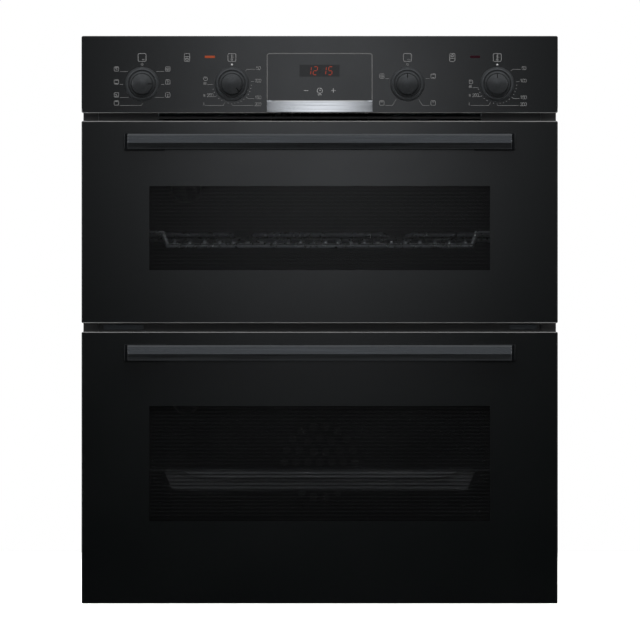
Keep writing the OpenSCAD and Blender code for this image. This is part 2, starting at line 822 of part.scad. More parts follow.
// Frame between the panes: two columns, a slotted top rail and a low bottom rail
module door_frame(bot, top) {
    column_in = 262;
    column_out = 290;
    difference() {
        union() {
            difference() {
                box(-column_out, column_out, glass_back, door_back, bot + hinge_up, top - 1);
                box(-column_in, column_in, glass_back - 1, 0, bot, top - 13);
            }
            box(-column_out, column_out, glass_back, hinge_y + 4, bot + 2, bot + hinge_up + eps);
        }
        both_sides() box(channel_in - 1.5, column_in, glass_back + 1, 0, bot, bot + 30);
        slots_y(-238, 20, 24, 13, glass_back + 3, door_back - 4.2, top - 20, top + 1);
    }
}

module hinge_channels(bot) {
    z = bot + hinge_up;
    web = glass_back + 1.1;
    both_sides() difference() {
        union() {
            for (x = [channel_in, channel_out - 1.2])
                box(x, x + 1.2, web, door_back - 3.6, z - 5, z + 120);
            box(channel_in, channel_out, web, web + 0.9, z - 5, z + 120);
        }
        rod_x(channel_in - 1, channel_out + 1, hinge_y, z, pin_r + pin_fit);
    }
}

module handle_bar(top) {
    z = top - handle_drop;
    front = glass_front - handle_reach;
    half = handle_h / 2;
    along_x(-handle_len / 2, handle_len / 2, [
        [front + 14, z - half], [front + 5, z - half], [front + 3.6, z - half + 1.4],
        [front, z - 2], [front + 1.6, z + half - 2], [front + 3.4, z + half],
        [front + 14, z + half]
    ]);
}

module handle_posts(top) {
    z = top - handle_drop;
    post_out = handle_len / 2 + 4.4;
    both_sides() plate(post_out - post_w, post_out, z - 10.7, z + 10.7,
        glass_front - handle_reach + 14, glass_front, 2);
}

module upper_outer_glass() { color("#1c1d20") outer_glass(upper_bot, upper_top); }

module upper_inner_glass() { color("#4a4f52") inner_glass(upper_bot, upper_top); }

module upper_door_frame() { color("#26272a") door_frame(upper_bot, upper_top); }

module upper_hinge_channels() { color("silver") hinge_channels(upper_bot); }

module upper_handle_bar() { color("#3a3c41") handle_bar(upper_top); }

module upper_handle_posts() { color("#2e3034") handle_posts(upper_top); }

module lower_outer_glass() { color("#1c1d20") outer_glass(lower_bot, lower_top); }

module lower_inner_glass() { color("#4a4f52") inner_glass(lower_bot, lower_top); }

module lower_door_frame() { color("#26272a") door_frame(lower_bot, lower_top); }

module lower_hinge_channels() { color("silver") hinge_channels(lower_bot); }

module lower_handle_bar() { color("#3a3c41") handle_bar(lower_top); }

module lower_handle_posts() { color("#2e3034") handle_posts(lower_top); }

base_tray();
left_side_panel();
right_side_panel();
back_panel();
top_cover();
front_frame();
air_outlet_trim();
hinge_covers();
upper_cavity();
lower_cavity();
upper_insulation();
lower_insulation();
door_seals();
hinge_arms();
control_fascia();
control_carrier();
display_frame();
display_module();
trim_strip();
control_board();
indicator_lamps();
knob_bezels();
selector_switches();
thermostats();
temperature_probes();
cooling_fan_housing();
cooling_fan_motor();
cooling_fan_impeller();
fan_baffle();
convection_motor();
convection_fan_wheel();
ring_element();
grill_elements();
bottom_elements();
oven_lamp_lenses();
oven_lamp_holders();
upper_side_racks();
lower_side_racks();
wire_shelf();
universal_pan();
terminal_block();
cable_gland();
housing_screws();
lower_function_knob();
lower_temperature_knob();
upper_function_knob();
upper_temperature_knob();
upper_outer_glass();
upper_inner_glass();
upper_door_frame();
upper_hinge_channels();
upper_handle_bar();
upper_handle_posts();
lower_outer_glass();
lower_inner_glass();
lower_door_frame();
lower_hinge_channels();
lower_handle_bar();
lower_handle_posts();
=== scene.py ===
import json
import math

import bmesh
import bpy
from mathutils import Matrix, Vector


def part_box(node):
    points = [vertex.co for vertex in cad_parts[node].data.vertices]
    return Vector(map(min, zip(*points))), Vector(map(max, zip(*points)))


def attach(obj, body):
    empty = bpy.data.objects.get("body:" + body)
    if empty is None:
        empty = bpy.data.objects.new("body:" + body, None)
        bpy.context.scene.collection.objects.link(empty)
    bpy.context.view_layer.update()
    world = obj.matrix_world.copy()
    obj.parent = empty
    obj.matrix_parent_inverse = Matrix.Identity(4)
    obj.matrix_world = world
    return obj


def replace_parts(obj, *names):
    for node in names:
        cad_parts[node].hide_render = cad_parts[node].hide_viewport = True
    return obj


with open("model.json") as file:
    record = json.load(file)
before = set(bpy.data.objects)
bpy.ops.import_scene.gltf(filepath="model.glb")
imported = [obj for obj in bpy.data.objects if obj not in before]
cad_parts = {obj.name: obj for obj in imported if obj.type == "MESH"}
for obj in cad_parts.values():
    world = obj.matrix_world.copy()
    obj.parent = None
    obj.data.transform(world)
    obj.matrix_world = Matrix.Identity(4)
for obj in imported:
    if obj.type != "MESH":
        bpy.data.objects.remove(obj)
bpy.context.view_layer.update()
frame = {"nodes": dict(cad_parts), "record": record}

MM = 0.001
ROOT = "root"


# ---- Planes of the front ----

fascia_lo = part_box("control_fascia")[0]
FRONT = fascia_lo.y
PRINT = FRONT - 0.06 * MM
DOORS = ("upper", "lower")


# ---- Node helpers ----

LOOKS = {}
MIDDLE = (0.35, 0.65)  # the part of a noise's range in which most of its values lie


class Tree:
    """The node tree of a material or of the world, built up one node at a time."""

    def __init__(self, owner):
        owner.use_nodes = True
        self.nodes = owner.node_tree.nodes
        self.links = owner.node_tree.links

    def node(self, kind, **values):
        return self.tuned(self.nodes.new(kind), values)

    def tuned(self, node, values):
        """Sets inputs, whose names start with a capital here, and properties."""
        for key, value in values.items():
            if key[0].isupper():
                node.inputs[key.replace("_", " ")].default_value = value
            else:
                setattr(node, key, value)
        return node

    def join(self, source, target):
        self.links.new(source, target)


class Shader(Tree):
    """A material with a Principled shader, which LOOKS keeps under its name."""

    def __init__(self, name, **inputs):
        LOOKS[name] = bpy.data.materials.new(name)
        super().__init__(LOOKS[name])
        self.body = self.tuned(self.nodes["Principled BSDF"], inputs)
        self.place = self.node("ShaderNodeTexCoord").outputs["Object"]
        self.height = None

    def stretched(self, scale):
        """Object coordinates, scaled differently along X, Y and Z."""
        mapping = self.node("ShaderNodeMapping", Scale=scale)
        self.join(self.place, mapping.inputs["Vector"])
        return mapping.outputs["Vector"]

    def noise(self, scale, detail, stretch=(1, 1, 1)):
        made = self.node("ShaderNodeTexNoise", Scale=scale, Detail=detail)
        self.join(self.stretched(stretch), made.inputs["Vector"])
        return made.outputs["Fac"]

    def cells(self, scale, stretch=(1, 1, 1)):
        """One random grey for each cell."""
        made = self.node("ShaderNodeTexVoronoi", Scale=scale)
        self.join(self.stretched(stretch), made.inputs["Vector"])
        return made.outputs["Color"]

    def ramp(self, source, stops):
        """Greys or colours between stops, each (position, colour)."""
        made = self.node("ShaderNodeValToRGB")
        ramp = made.color_ramp
        ramp.elements[0].position, ramp.elements[1].position = stops[0][0], stops[-1][0]
        for position, _ in stops[1:-1]:
            ramp.elements.new(position)
        for element, (_, color) in zip(ramp.elements, stops):
            element.color = tuple(color) + (1,)
        self.join(source, made.inputs["Fac"])
        return made.outputs["Color"]

    def color(self, source, dark, light, low=MIDDLE[0], high=MIDDLE[1]):
        self.join(self.ramp(source, [(low, dark), (high, light)]), self.body.inputs["Base Color"])

    def mottled(self, scale, detail, dark, light, tint=(1, 1, 1)):
        """A tone that wanders between two greys."""
        self.color(self.noise(scale, detail), grey(dark, tint), grey(light, tint))

    def rough(self, source, smoothest, roughest):
        made = self.node("ShaderNodeMapRange", From_Min=MIDDLE[0], From_Max=MIDDLE[1],
                         To_Min=smoothest, To_Max=roughest)
        self.join(source, made.inputs["Value"])
        self.join(made.outputs["Result"], self.body.inputs["Roughness"])

    def bump(self, source, strength, distance):
        made = self.node("ShaderNodeBump", Strength=strength, Distance=distance)
        self.join(source, made.inputs["Height"])
        if self.height:
            self.join(self.height, made.inputs["Normal"])
        self.height = made.outputs["Normal"]
        self.join(self.height, self.body.inputs["Normal"])


def grey(value, tint=(1, 1, 1)):
    return tuple(value * part for part in tint)


COOL = (0.94, 1.0, 1.06)
WARM = (1.06, 1.0, 0.9)
DEEP = (0.75, 1.0, 1.02)


# ---- Materials ----

def black_glass():
    """Glass printed dark grey on its back: a sharp reflection over a softer, wider one."""
    look = Shader("black_glass", Roughness=0.18, Coat_Weight=0.40, Coat_Roughness=0.02,
                  Specular_IOR_Level=0.36)
    look.mottled(900, 2, 0.0007, 0.0010, DEEP)
    look.rough(look.noise(14, 4), 0.17, 0.20)


def window_glass():
    """Dark, see-through glass of a door's window."""
    look = Shader("window_glass", Roughness=0.03, Alpha=0.14, IOR=1.4)
    look.mottled(60, 2, 0.0012, 0.0018)
    look.rough(look.noise(18, 3), 0.02, 0.05)


def window_print():
    """The fine lines printed across a window."""
    look = Shader("window_print", Roughness=0.3, Alpha=0.08)
    look.mottled(800, 2, 0.005, 0.007, COOL)


def display_glass():
    """The display's window: darker than the panel round it."""
    look = Shader("display_glass", Roughness=0.12, Coat_Weight=0.12, Coat_Roughness=0.02,
                  Specular_IOR_Level=0.22)
    look.mottled(900, 2, 0.0009, 0.0014)


def edge_highlight():
    """Partly the pale look of ground glass, partly a painted highlight: a pale, rough finish for
    the chamfers of a pane that catch light.
    """
    look = Shader("edge_highlight", Roughness=0.45, Specular_IOR_Level=0.5)
    look.mottled(1500, 3, 0.065, 0.095)
    look.bump(look.noise(2600, 3), 0.3, 0.03 * MM)


def clear_glass():
    look = Shader("clear_glass", Roughness=0.02, Alpha=0.06, IOR=1.5)
    look.mottled(30, 2, 0.012, 0.018, COOL)
    look.rough(look.noise(25, 3), 0.02, 0.06)


def brushed(name, dark, light, roughness, stretch, tint=(1, 1, 1), metallic=1.0):
    """Metal brushed along the axis that the stretch leaves short."""
    look = Shader(name, Metallic=metallic)
    lines = look.noise(420, 4, stretch)
    look.color(lines, grey(dark, tint), grey(light, tint), 0.3, 0.7)
    look.rough(lines, roughness - 0.05, roughness + 0.05)
    look.bump(lines, 0.12, 0.05 * MM)
    look.bump(look.noise(9, 3), 0.05, 1.0 * MM)


def galvanised():
    """Zinc-coated sheet: flat crystals of slightly different greys and gloss."""
    look = Shader("galvanised_steel", Metallic=1.0)
    crystals = look.cells(130, (1.0, 1.0, 0.7))
    look.color(crystals, grey(0.49, COOL), grey(0.60, COOL), 0.1, 0.9)
    look.rough(look.noise(120, 4), 0.34, 0.5)
    look.bump(crystals, 0.05, 0.06 * MM)
    look.bump(look.noise(5, 3), 0.10, 2.0 * MM)


def oven_enamel():
    """Glossy vitreous enamel with fine pale specks."""
    look = Shader("oven_enamel", Roughness=0.42, Specular_IOR_Level=0.2)
    specks = look.cells(900)
    look.join(look.ramp(specks, [(0.0, grey(0.006, COOL)), (0.92, grey(0.009, COOL)),
                                 (0.97, grey(0.05, COOL))]), look.body.inputs["Base Color"])
    look.rough(look.noise(40, 4), 0.36, 0.48)
    look.bump(look.noise(110, 3), 0.10, 0.15 * MM)


def pan_enamel():
    look = Shader("pan_enamel", Roughness=0.22, Coat_Weight=0.6, Coat_Roughness=0.12)
    look.mottled(500, 3, 0.025, 0.036, COOL)
    look.bump(look.noise(90, 3), 0.08, 0.15 * MM)


def frame_enamel():
    look = Shader("black_frame_enamel", Roughness=0.34)
    look.mottled(600, 3, 0.012, 0.018)
    look.bump(look.noise(700, 3), 0.12, 0.06 * MM)


def plastic(name, dark, light, roughness=0.45, tint=(1, 1, 1)):
    """Moulded plastic with a fine spark-eroded grain."""
    look = Shader(name, Roughness=roughness)
    look.mottled(350, 4, dark, light, tint)
    look.bump(look.cells(1800), 0.14, 0.05 * MM)


def mineral_wool():
    look = Shader("mineral_wool", Roughness=0.95, Sheen_Weight=0.3)
    fibres = look.noise(240, 6, (1, 4, 4))
    look.color(fibres, (0.34, 0.27, 0.11), (0.66, 0.56, 0.30))
    look.bump(fibres, 0.9, 1.5 * MM)
    look.bump(look.noise(30, 4), 0.6, 4 * MM)


def braided_seal():
    look = Shader("seal_rubber", Roughness=0.8)
    weave = look.node("ShaderNodeTexWave", Scale=260.0, Distortion=1.5)
    look.join(look.place, weave.inputs["Vector"])
    look.color(weave.outputs["Fac"], grey(0.012), grey(0.04), 0.2, 0.8)
    look.bump(weave.outputs["Fac"], 0.5, 0.3 * MM)


def heater_sheath():
    """Oxidised heater tube, with brown and blue-grey heat tints."""
    look = Shader("heater_sheath", Metallic=0.8)
    look.color(look.noise(35, 4), (0.050, 0.042, 0.040), (0.105, 0.088, 0.076))
    look.rough(look.noise(80, 3), 0.4, 0.6)
    look.bump(look.noise(900, 3), 0.25, 0.08 * MM)


def circuit_board():
    look = Shader("circuit_board", Roughness=0.35)
    tracks = look.cells(140)
    look.color(tracks, (0.012, 0.07, 0.03), (0.03, 0.13, 0.06), 0.45, 0.5)
    look.bump(tracks, 0.15, 0.05 * MM)


def steatite():
    look = Shader("steatite", Roughness=0.6)
    look.mottled(160, 4, 0.52, 0.66, WARM)
    look.bump(look.noise(700, 3), 0.2, 0.08 * MM)


def copper():
    look = Shader("probe_copper", Metallic=1.0)
    look.color(look.noise(120, 3), (0.42, 0.20, 0.10), (0.62, 0.34, 0.19))
    look.rough(look.noise(200, 3), 0.22, 0.4)


def lamp_glass():
    look = Shader("lamp_glass", Roughness=0.25, Alpha=0.3, Specular_IOR_Level=0.1)
    look.mottled(60, 3, 0.015, 0.025)


def satin_wire():
    """Satin nickel plating on the shelf and the racks."""
    look = Shader("chrome_wire", Metallic=0.97, Anisotropic=0.9, Anisotropic_Rotation=0.25)
    look.mottled(90, 3, 0.72, 0.80, COOL)
    look.rough(look.noise(200, 3), 0.26, 0.32)
    look.bump(look.noise(600, 3), 0.06, 0.05 * MM)


def print_ink(name, low, high):
    """Screen print, with a slightly uneven film."""
    look = Shader(name, Roughness=0.55, Specular_IOR_Level=0.2)
    look.mottled(2200, 2, low, high)
    look.bump(look.noise(3000, 2), 0.1, 0.02 * MM)


def glowing(name, color, strength):
    """A lit mark: its glow varies a little over its surface."""
    look = Shader(name, Roughness=0.4, Specular_IOR_Level=0.2, Emission_Strength=strength)
    dim = grey(0.88, color)
    glow = look.ramp(look.noise(700, 2), list(zip(MIDDLE, (dim, color))))
    look.join(glow, look.body.inputs["Emission Color"])
    look.mottled(700, 2, 0.004, 0.006)


def matt(name, dark, light):
    """A dark surface that hardly shines."""
    look = Shader(name, Roughness=0.5, Specular_IOR_Level=0.03)
    look.color(look.noise(700, 2), dark, light)


def make_metals():
    along_x, along_z, even = (0.03, 1, 1), (1, 1, 0.03), (1, 1, 1)
    brushed("dark_steel", 0.075, 0.10, 0.30, along_x, COOL)
    # handle_post: the bar's brushed steel at about a third of its grey, painted shade for the
    # posts in the shadow behind the bar.
    brushed("handle_post", 0.020, 0.030, 0.35, along_x, COOL)
    brushed("knob_steel", 0.042, 0.055, 0.36, even, COOL, 0.85)
    brushed("bezel_steel", 0.080, 0.096, 0.36, even, COOL, 0.85)
    brushed("silver_trim", 0.54, 0.63, 0.13, along_x, (0.98, 1, 1.02))
    brushed("screw_steel", 0.5, 0.6, 0.3, even)
    # Painted shade: the fan wheel's aluminium is darkened to near black, standing for the dark
    # behind the baffle.
    brushed("fan_aluminium", 0.035, 0.050, 0.45, along_z)


def make_plastics():
    plastic("motor_steel", 0.09, 0.14, 0.4)
    plastic("black_plastic", 0.010, 0.016)
    plastic("switch_plastic", 0.52, 0.60, 0.5, WARM)
    matt("lamp_plastic", (0.0075, 0.0014, 0.0026), (0.0095, 0.0018, 0.0034))
    # Near-black matt: the paint of the knobs' indicator lines, and painted shade for the dark
    # strips in the front frame's gaps.
    matt("mark_paint_and_gap_shade", grey(0.0015), grey(0.0025))


def make_prints():
    print_ink("legend_print", 0.060, 0.072)
    print_ink("touch_print", 0.12, 0.15)
    print_ink("bright_print", 0.19, 0.22)
    print_ink("frame_line", 0.040, 0.048)
    glowing("digit_glow", (1.0, 0.10, 0.03), 0.30)
    glowing("lamp_glow", (1.0, 0.15, 0.03), 0.30)


for make in (black_glass, window_glass, window_print, display_glass, edge_highlight, clear_glass,
             galvanised, oven_enamel, pan_enamel, frame_enamel, mineral_wool, braided_seal,
             heater_sheath, circuit_board, steatite, copper, lamp_glass, satin_wire,
             make_metals, make_plastics, make_prints):
    make()

SLOT_OF = {entry["node"]: entry["material_slot"] for entry in frame["record"]["subparts"]}


def dress_cad():
    """Each CAD node gets the material of its slot in the record."""
    for node, slot in SLOT_OF.items():
        shown = frame["nodes"][node]
        look = LOOKS[slot]
        if not shown.data.materials:
            shown.data.materials.append(look)
        for index in range(len(shown.material_slots)):
            shown.material_slots[index].material = look


dress_cad()


# ---- Shape helpers ----

def add_piece(name, mesh, body, slot, *looks):
    """A new piece of the object that moves with a body."""
    made = bpy.data.objects.new(name, mesh)
    bpy.context.collection.objects.link(made)
    for look in looks:
        mesh.materials.append(LOOKS[look])
    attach(made, body)
    return made


def mesh_of(name, points, faces, groups=None):
    mesh = bpy.data.meshes.new(name)
    mesh.from_pydata(points, [], faces)
    if groups:
        mesh.polygons.foreach_set("material_index", groups)
    mesh.update()
    return mesh


NOTHING = 0.001 * MM


def edited(mesh, change):
    """The mesh after a change made to it as a bmesh."""
    work = bmesh.new()
    work.from_mesh(mesh)
    change(work)
    work.to_mesh(mesh)
    work.free()
    return mesh


def facing_out(mesh):
    """The mesh with doubled points joined and every face turned outward."""
    def change(work):
        bmesh.ops.remove_doubles(work, verts=work.verts, dist=NOTHING)
        bmesh.ops.dissolve_degenerate(work, edges=work.edges, dist=NOTHING)
        bmesh.ops.recalc_face_normals(work, faces=work.faces)

    return edited(mesh, change)


def between(a, b, count):
    """Faces between two closed rings of points, which start at two indices."""
    return [(a + i, a + (i + 1) % count, b + (i + 1) % count, b + i) for i in range(count)]


def smooth(made, angle=35):
    """Smooth shading, apart from edges sharper than the angle."""
    mesh = made.data
    mesh.polygons.foreach_set("use_smooth", [True] * len(mesh.polygons))
    mesh.set_sharp_from_angle(angle=math.radians(angle))
    return made


def loft(layers):
    """Points and faces of a solid through outlines of equal length, each (outline, y)."""
    count = len(layers[0][0])
    points = [(x, y, z) for outline, y in layers for x, z in outline]
    faces = []
    last = (len(layers) - 1) * count
    for start in range(0, last, count):
        faces += between(start, start + count, count)
    faces += [tuple(range(count - 1, -1, -1)), tuple(range(last, last + count))]
    return points, faces


def slab(name, x0, x1, z0, z1, front, back, r, edge):
    """A rounded plate whose front edge is bevelled."""
    inner = rounded(x0 + edge, x1 - edge, z0 + edge, z1 - edge, max(r - edge, 0.05 * MM))
    outer = rounded(x0, x1, z0, z1, r)
    return facing_out(mesh_of(name, *loft([(inner, front), (outer, front + edge),
                                           (outer, back)])))


def cad_copy(node, change):
    """A CAD node's mesh without its materials, imported normals and flat seams, then changed."""
    def clean(work):
        bmesh.ops.remove_doubles(work, verts=work.verts, dist=NOTHING)
        bmesh.ops.dissolve_limit(work, angle_limit=math.radians(1.5), verts=work.verts,
                                 edges=work.edges)
        change(work)

    mesh = frame["nodes"][node].data.copy()
    mesh.materials.clear()
    if "custom_normal" in mesh.attributes:
        mesh.attributes.remove(mesh.attributes["custom_normal"])
    return edited(mesh, clean)


def softened(node, width, look, body=ROOT, segments=2, flange_look=None, angle=30):
    """A copy of a CAD node with rounded edges, which stands for that node. Where a look is
    given for its flanges, faces in front of the cabinet's front edges get it."""
    def change(work):
        for face in work.faces:
            on_flange = face.calc_center_median().y < MM
            face.material_index = 1 if flange_look and on_flange else 0

    looks = (look, flange_look) if flange_look else (look,)
    made = add_piece(node + "_finished", cad_copy(node, change), body, SLOT_OF[node], *looks)
    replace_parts(made, node)
    step = made.modifiers.new("edges", "BEVEL")
    step.width = width
    step.segments = segments
    step.limit_method = "ANGLE"
    step.angle_limit = math.radians(angle)
    step.harden_normals = True
    made.data.polygons.foreach_set("use_smooth", [True] * len(made.data.polygons))
    return made


def arc(cx, cz, r, start, stop, steps):
    turns = [math.radians(start + (stop - start) * i / steps) for i in range(steps + 1)]
    return [(cx + r * math.cos(turn), cz + r * math.sin(turn)) for turn in turns]


def rounded(x0, x1, z0, z1, r, steps=6):
    """Outline of a rectangle with round corners, anticlockwise from the right top corner."""
    return (arc(x1 - r, z1 - r, r, 0, 90, steps) + arc(x0 + r, z1 - r, r, 90, 180, steps)
            + arc(x0 + r, z0 + r, r, 180, 270, steps) + arc(x1 - r, z0 + r, r, 270, 360, steps))


def lathe(name, profile, centre, turns=96):
    """A profile of (radius, height toward the front), in millimetres, spun round a centre."""
    points, faces = [], []
    for r, h in profile:
        for i in range(turns):
            a = 2 * math.pi * i / turns
            points.append((centre.x + r * MM * math.cos(a), centre.y - h * MM,
                           centre.z + r * MM * math.sin(a)))
    for start in range(0, (len(profile) - 1) * turns, turns):
        faces += between(start, start + turns, turns)
    return facing_out(mesh_of(name, points, faces))


# ---- Panes of glass ----

CHAMFER = 1.0 * MM
BACK_CHAMFER = 0.3 * MM
CORNER_STEPS = 6


def pane_sides(lo, hi, highlight_below):
    """Points of four outlines from front to back, the faces between them and their looks."""
    points, groups = [], []
    for inset, y in ((CHAMFER, lo.y), (0, lo.y + CHAMFER), (0, hi.y - BACK_CHAMFER),
                     (BACK_CHAMFER, hi.y)):
        outline = rounded(lo.x + inset, hi.x - inset, lo.z + inset, hi.z - inset, 2 * MM,
                          CORNER_STEPS)
        points += [(x, y, z) for x, z in outline]
    count = len(points) // 4
    faces = [face for layer in range(3)
             for face in between(layer * count, (layer + 1) * count, count)]
    # Level chamfers along the top, and along the bottom where asked, get the pale finish: a
    # painted highlight where these edges catch light.
    for a, b, *_ in faces:
        level = a < count and abs(points[a][2] - points[b][2]) < 0.1 * MM
        low = points[a][2] < (lo.z + hi.z) / 2
        groups.append(1 if level and (highlight_below or not low) else 0)
    return points, faces, groups


def cut_window(points, faces, lo, hi, window):
    """Adds a window's corners and its four sides, and the faces from them to the outline."""
    count = len(points) // 4
    (x0, z0), (x1, z1) = window
    for first, y in ((0, lo.y), (3 * count, hi.y)):
        hole = len(points)
        points += [(x, y, z) for x, z in ((x1, z1), (x0, z1), (x0, z0), (x1, z0))]
        for side in range(4):
            start = side * (CORNER_STEPS + 1) + CORNER_STEPS // 2
            ring = [first + (start + k) % count for k in range(CORNER_STEPS + 2)]
            ring += [hole + (side + 1) % 4, hole + side]
            faces.append(tuple(ring if first else reversed(ring)))
    faces += between(len(points) - 8, len(points) - 4, 4)


def pane(name, body, lo, hi, window, highlight_below):
    """A glass pane with a window and chamfered edges. The top chamfer gets the pale ground-glass
    finish as a painted highlight, and so may the lower one."""
    points, faces, groups = pane_sides(lo, hi, highlight_below)
    cut_window(points, faces, lo, hi, window)
    groups += [0] * (len(faces) - len(groups))
    mesh = facing_out(mesh_of(name, points, faces, groups))
    return add_piece(name, mesh, body, "black_glass", "black_glass", "edge_highlight")


def box_faces(first):
    """Faces of a box whose eight points start at an index, low Y first."""
    return [tuple(first + i for i in face) for face in
            ((0, 1, 2, 3), (7, 6, 5, 4), (0, 4, 5, 1), (1, 5, 6, 2), (2, 6, 7, 3), (3, 7, 4, 0))]


def box_points(x0, x1, y0, y1, z0, z1):
    return [(x, y, z) for y in (y0, y1) for x, z in ((x0, z0), (x1, z0), (x1, z1), (x0, z1))]


def boxes(name, body, slot, look, spans):
    """Many plain bars as one piece."""
    points, faces = [], []
    for span in spans:
        faces += box_faces(len(points))
        points += box_points(*span)
    return add_piece(name, mesh_of(name, points, faces), body, slot, look)


WINDOW_HALF = 212.5 * MM
# How far each window is above its door's lower edge, and how tall it is
WINDOWS = {"upper": (66 * MM, 105 * MM), "lower": (103 * MM, 143.6 * MM)}


def door_window(door):
    """A door's outer pane, the glass in its window and the fine lines printed on that glass."""
    body, node = door + "_door", door + "_outer_glass"
    lo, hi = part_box(node)
    up, height = WINDOWS[door]
    z0, z1 = lo.z + up, lo.z + up + height
    outer = pane(door + "_door_pane", body, lo, hi, ((-WINDOW_HALF, z0), (WINDOW_HALF, z1)),
                 door == "upper")
    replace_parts(outer, node)
    gap = 0.02 * MM
    boxes(door + "_window_glass", body, "clear_glass", "window_glass",
          [(-WINDOW_HALF + gap, WINDOW_HALF - gap, lo.y + gap, hi.y - gap, z0 + gap, z1 - gap)])
    pitch, line = 4.6 * MM, 1.7 * MM
    rows = int(height / pitch)
    spare = (height - rows * pitch + pitch - line) / 2
    boxes(door + "_window_lines", body, "black_glass", "window_print",
          [(-WINDOW_HALF, WINDOW_HALF, hi.y + 0.05 * MM, hi.y + 0.1 * MM,
            z0 + spare + i * pitch, z0 + spare + i * pitch + line) for i in range(rows)])


for door in DOORS:
    door_window(door)


# ---- Printed marks ----

THIN = 0.44


def turned_mark(x, z, angle, r):
    """The point at a radius from (x, z), at an angle clockwise from the top."""
    a = math.radians(angle)
    return (x + r * math.sin(a), z + r * math.cos(a))


class Print:
    """Thin marks on the front of a pane. Points are in millimetres from the mark's origin."""

    def __init__(self, front=PRINT, thick=0.05 * MM):
        self.points, self.faces = [], []
        self.front, self.thick = front, thick
        self.x, self.z = 0.0, 0.0

    def at(self, x, z):
        self.x, self.z = x, z
        return self

    def prism(self, sides, closed):
        """A solid line from pairs of points on its left and on its right."""
        first, rings = len(self.points), len(sides)
        for left, right in sides:
            for p, y in ((left, self.front), (right, self.front),
                         (right, self.front + self.thick), (left, self.front + self.thick)):
                self.points.append((self.x + p[0] * MM, y, self.z + p[1] * MM))
        for i in range(rings if closed else rings - 1):
            self.faces += between(first + 4 * i, first + 4 * ((i + 1) % rings), 4)
        if not closed:
            last = first + 4 * (rings - 1)
            self.faces.append((first + 3, first + 2, first + 1, first))
            self.faces.append((last, last + 1, last + 2, last + 3))

    def line(self, points, width, closed=False):
        """A line of constant width with mitred corners."""
        path = [Vector(p) for p in points]
        count = len(path)
        sides = []
        for i, p in enumerate(path):
            before = path[i - 1] if closed or i > 0 else None
            after = path[(i + 1) % count] if closed or i < count - 1 else None
            a = (p - before).normalized() if before is not None else (after - p).normalized()
            b = (after - p).normalized() if after is not None else a
            along = (a + b).normalized()
            across = Vector((-along.y, along.x)) * width / 2 / max(along.dot(b), 0.4)
            sides.append((p + across, p - across))
        self.prism(sides, closed)

    def ring(self, x, z, r, width, sides=24):
        self.line([turned_mark(x, z, -360 * i / sides, r) for i in range(sides)], width, True)

    def dot(self, x, z, r, sides=16):
        self.ring(x, z, r / 2, r * 0.98, sides)

    def frame(self, x, z, w, h, r, width):
        self.line(rounded(x - w / 2, x + w / 2, z - h / 2, z + h / 2, r, 4), width, True)

    def finish(self, name, look, slot="silver_trim"):
        mesh = facing_out(mesh_of(name, self.points, self.faces))
        return add_piece(name, mesh, ROOT, slot, look)


DIGITS = {
    "0": [arc(0.31, 0.69, 0.31, 0, 180, 6) + arc(0.31, 0.31, 0.31, 180, 360, 6)],
    "1": [[(0.12, 0.80), (0.36, 1.0), (0.36, 0.0)]],
    "2": [arc(0.31, 0.69, 0.29, 165, -35, 7) + [(0.02, 0.0), (0.62, 0.0)]],
    "5": [[(0.58, 1.0), (0.10, 1.0), (0.06, 0.56)] + arc(0.30, 0.33, 0.32, 110, -145, 8)],
    "I": [[(0.20, 0.0), (0.20, 1.0)]],
}


def number(marks, text, x, z, height=4.0, pitch=2.65, width=0.52):
    """Digits drawn as lines, with their lower left corner at (x, z)."""
    for place, digit in enumerate(text):
        for stroke in DIGITS[digit]:
            marks.line([(x + place * pitch + px * height, z + pz * height) for px, pz in stroke],
                       width, digit == "0")


# ---- Control panel ----

KNOBS = ("lower_function", "lower_temperature", "upper_function", "upper_temperature")


def knob_centre(name):
    """The middle of a knob, in the plane of the panel's front."""
    lo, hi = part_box(name + "_knob")
    return Vector(((lo.x + hi.x) / 2, FRONT, (lo.z + hi.z) / 2))


def low_front_edge(a, b, lo):
    """Whether an edge is in the pane's front face, along its bottom or round a lower corner."""
    front = max(abs(a.y - lo.y), abs(b.y - lo.y)) < 0.1 * MM
    return front and max(a.z, b.z) < lo.z + 2.1 * MM


def fascia_pane():
    """The panel's glass with its holes, with a chamfer along its lower edge in the pale
    ground-glass finish, a painted highlight.
    """
    def change(work):
        weight = work.edges.layers.float.new("bevel_weight_edge")
        for edge in work.edges:
            if low_front_edge(edge.verts[0].co, edge.verts[1].co, fascia_lo):
                edge[weight] = 1.0
        for face in work.faces:
            face.material_index = 0

    made = add_piece("fascia_pane", cad_copy("control_fascia", change), ROOT, "black_glass",
                     "black_glass", "edge_highlight")
    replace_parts(made, "control_fascia")
    step = made.modifiers.new("edges", "BEVEL")
    step.width = CHAMFER
    step.limit_method = "WEIGHT"
    step.material = 1


def bezel(name, centre):
    """The fixed ring round a knob: a low cone with a rounded crest."""
    lo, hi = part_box("knob_bezels")
    outer = (hi.z - lo.z) / 2 / MM
    inner = (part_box("lower_function_knob")[1].z - centre.z) / MM + 0.5
    crest = arc(inner + 1.1, 4.3, 0.65, 75, 140, 5)
    profile = [(inner, 0), (inner, 4.4)] + crest[::-1] + [(outer - 0.1, 1.3), (outer, 0.9),
                                                         (outer, 0), (inner, 0)]
    made = add_piece(name, lathe(name, profile, centre), ROOT, "knob_steel", "bezel_steel")
    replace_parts(smooth(made), "knob_bezels")


def dome(cap_r, rim_h, top_h):
    """Profile of a shallow dome, from its rim to its middle."""
    rise, steps = top_h - rim_h, 14
    ball = (cap_r ** 2 + rise ** 2) / (2 * rise)
    return [(r, top_h - ball + math.sqrt(ball ** 2 - r ** 2))
            for r in (cap_r * (1 - i / steps) for i in range(steps + 1))]


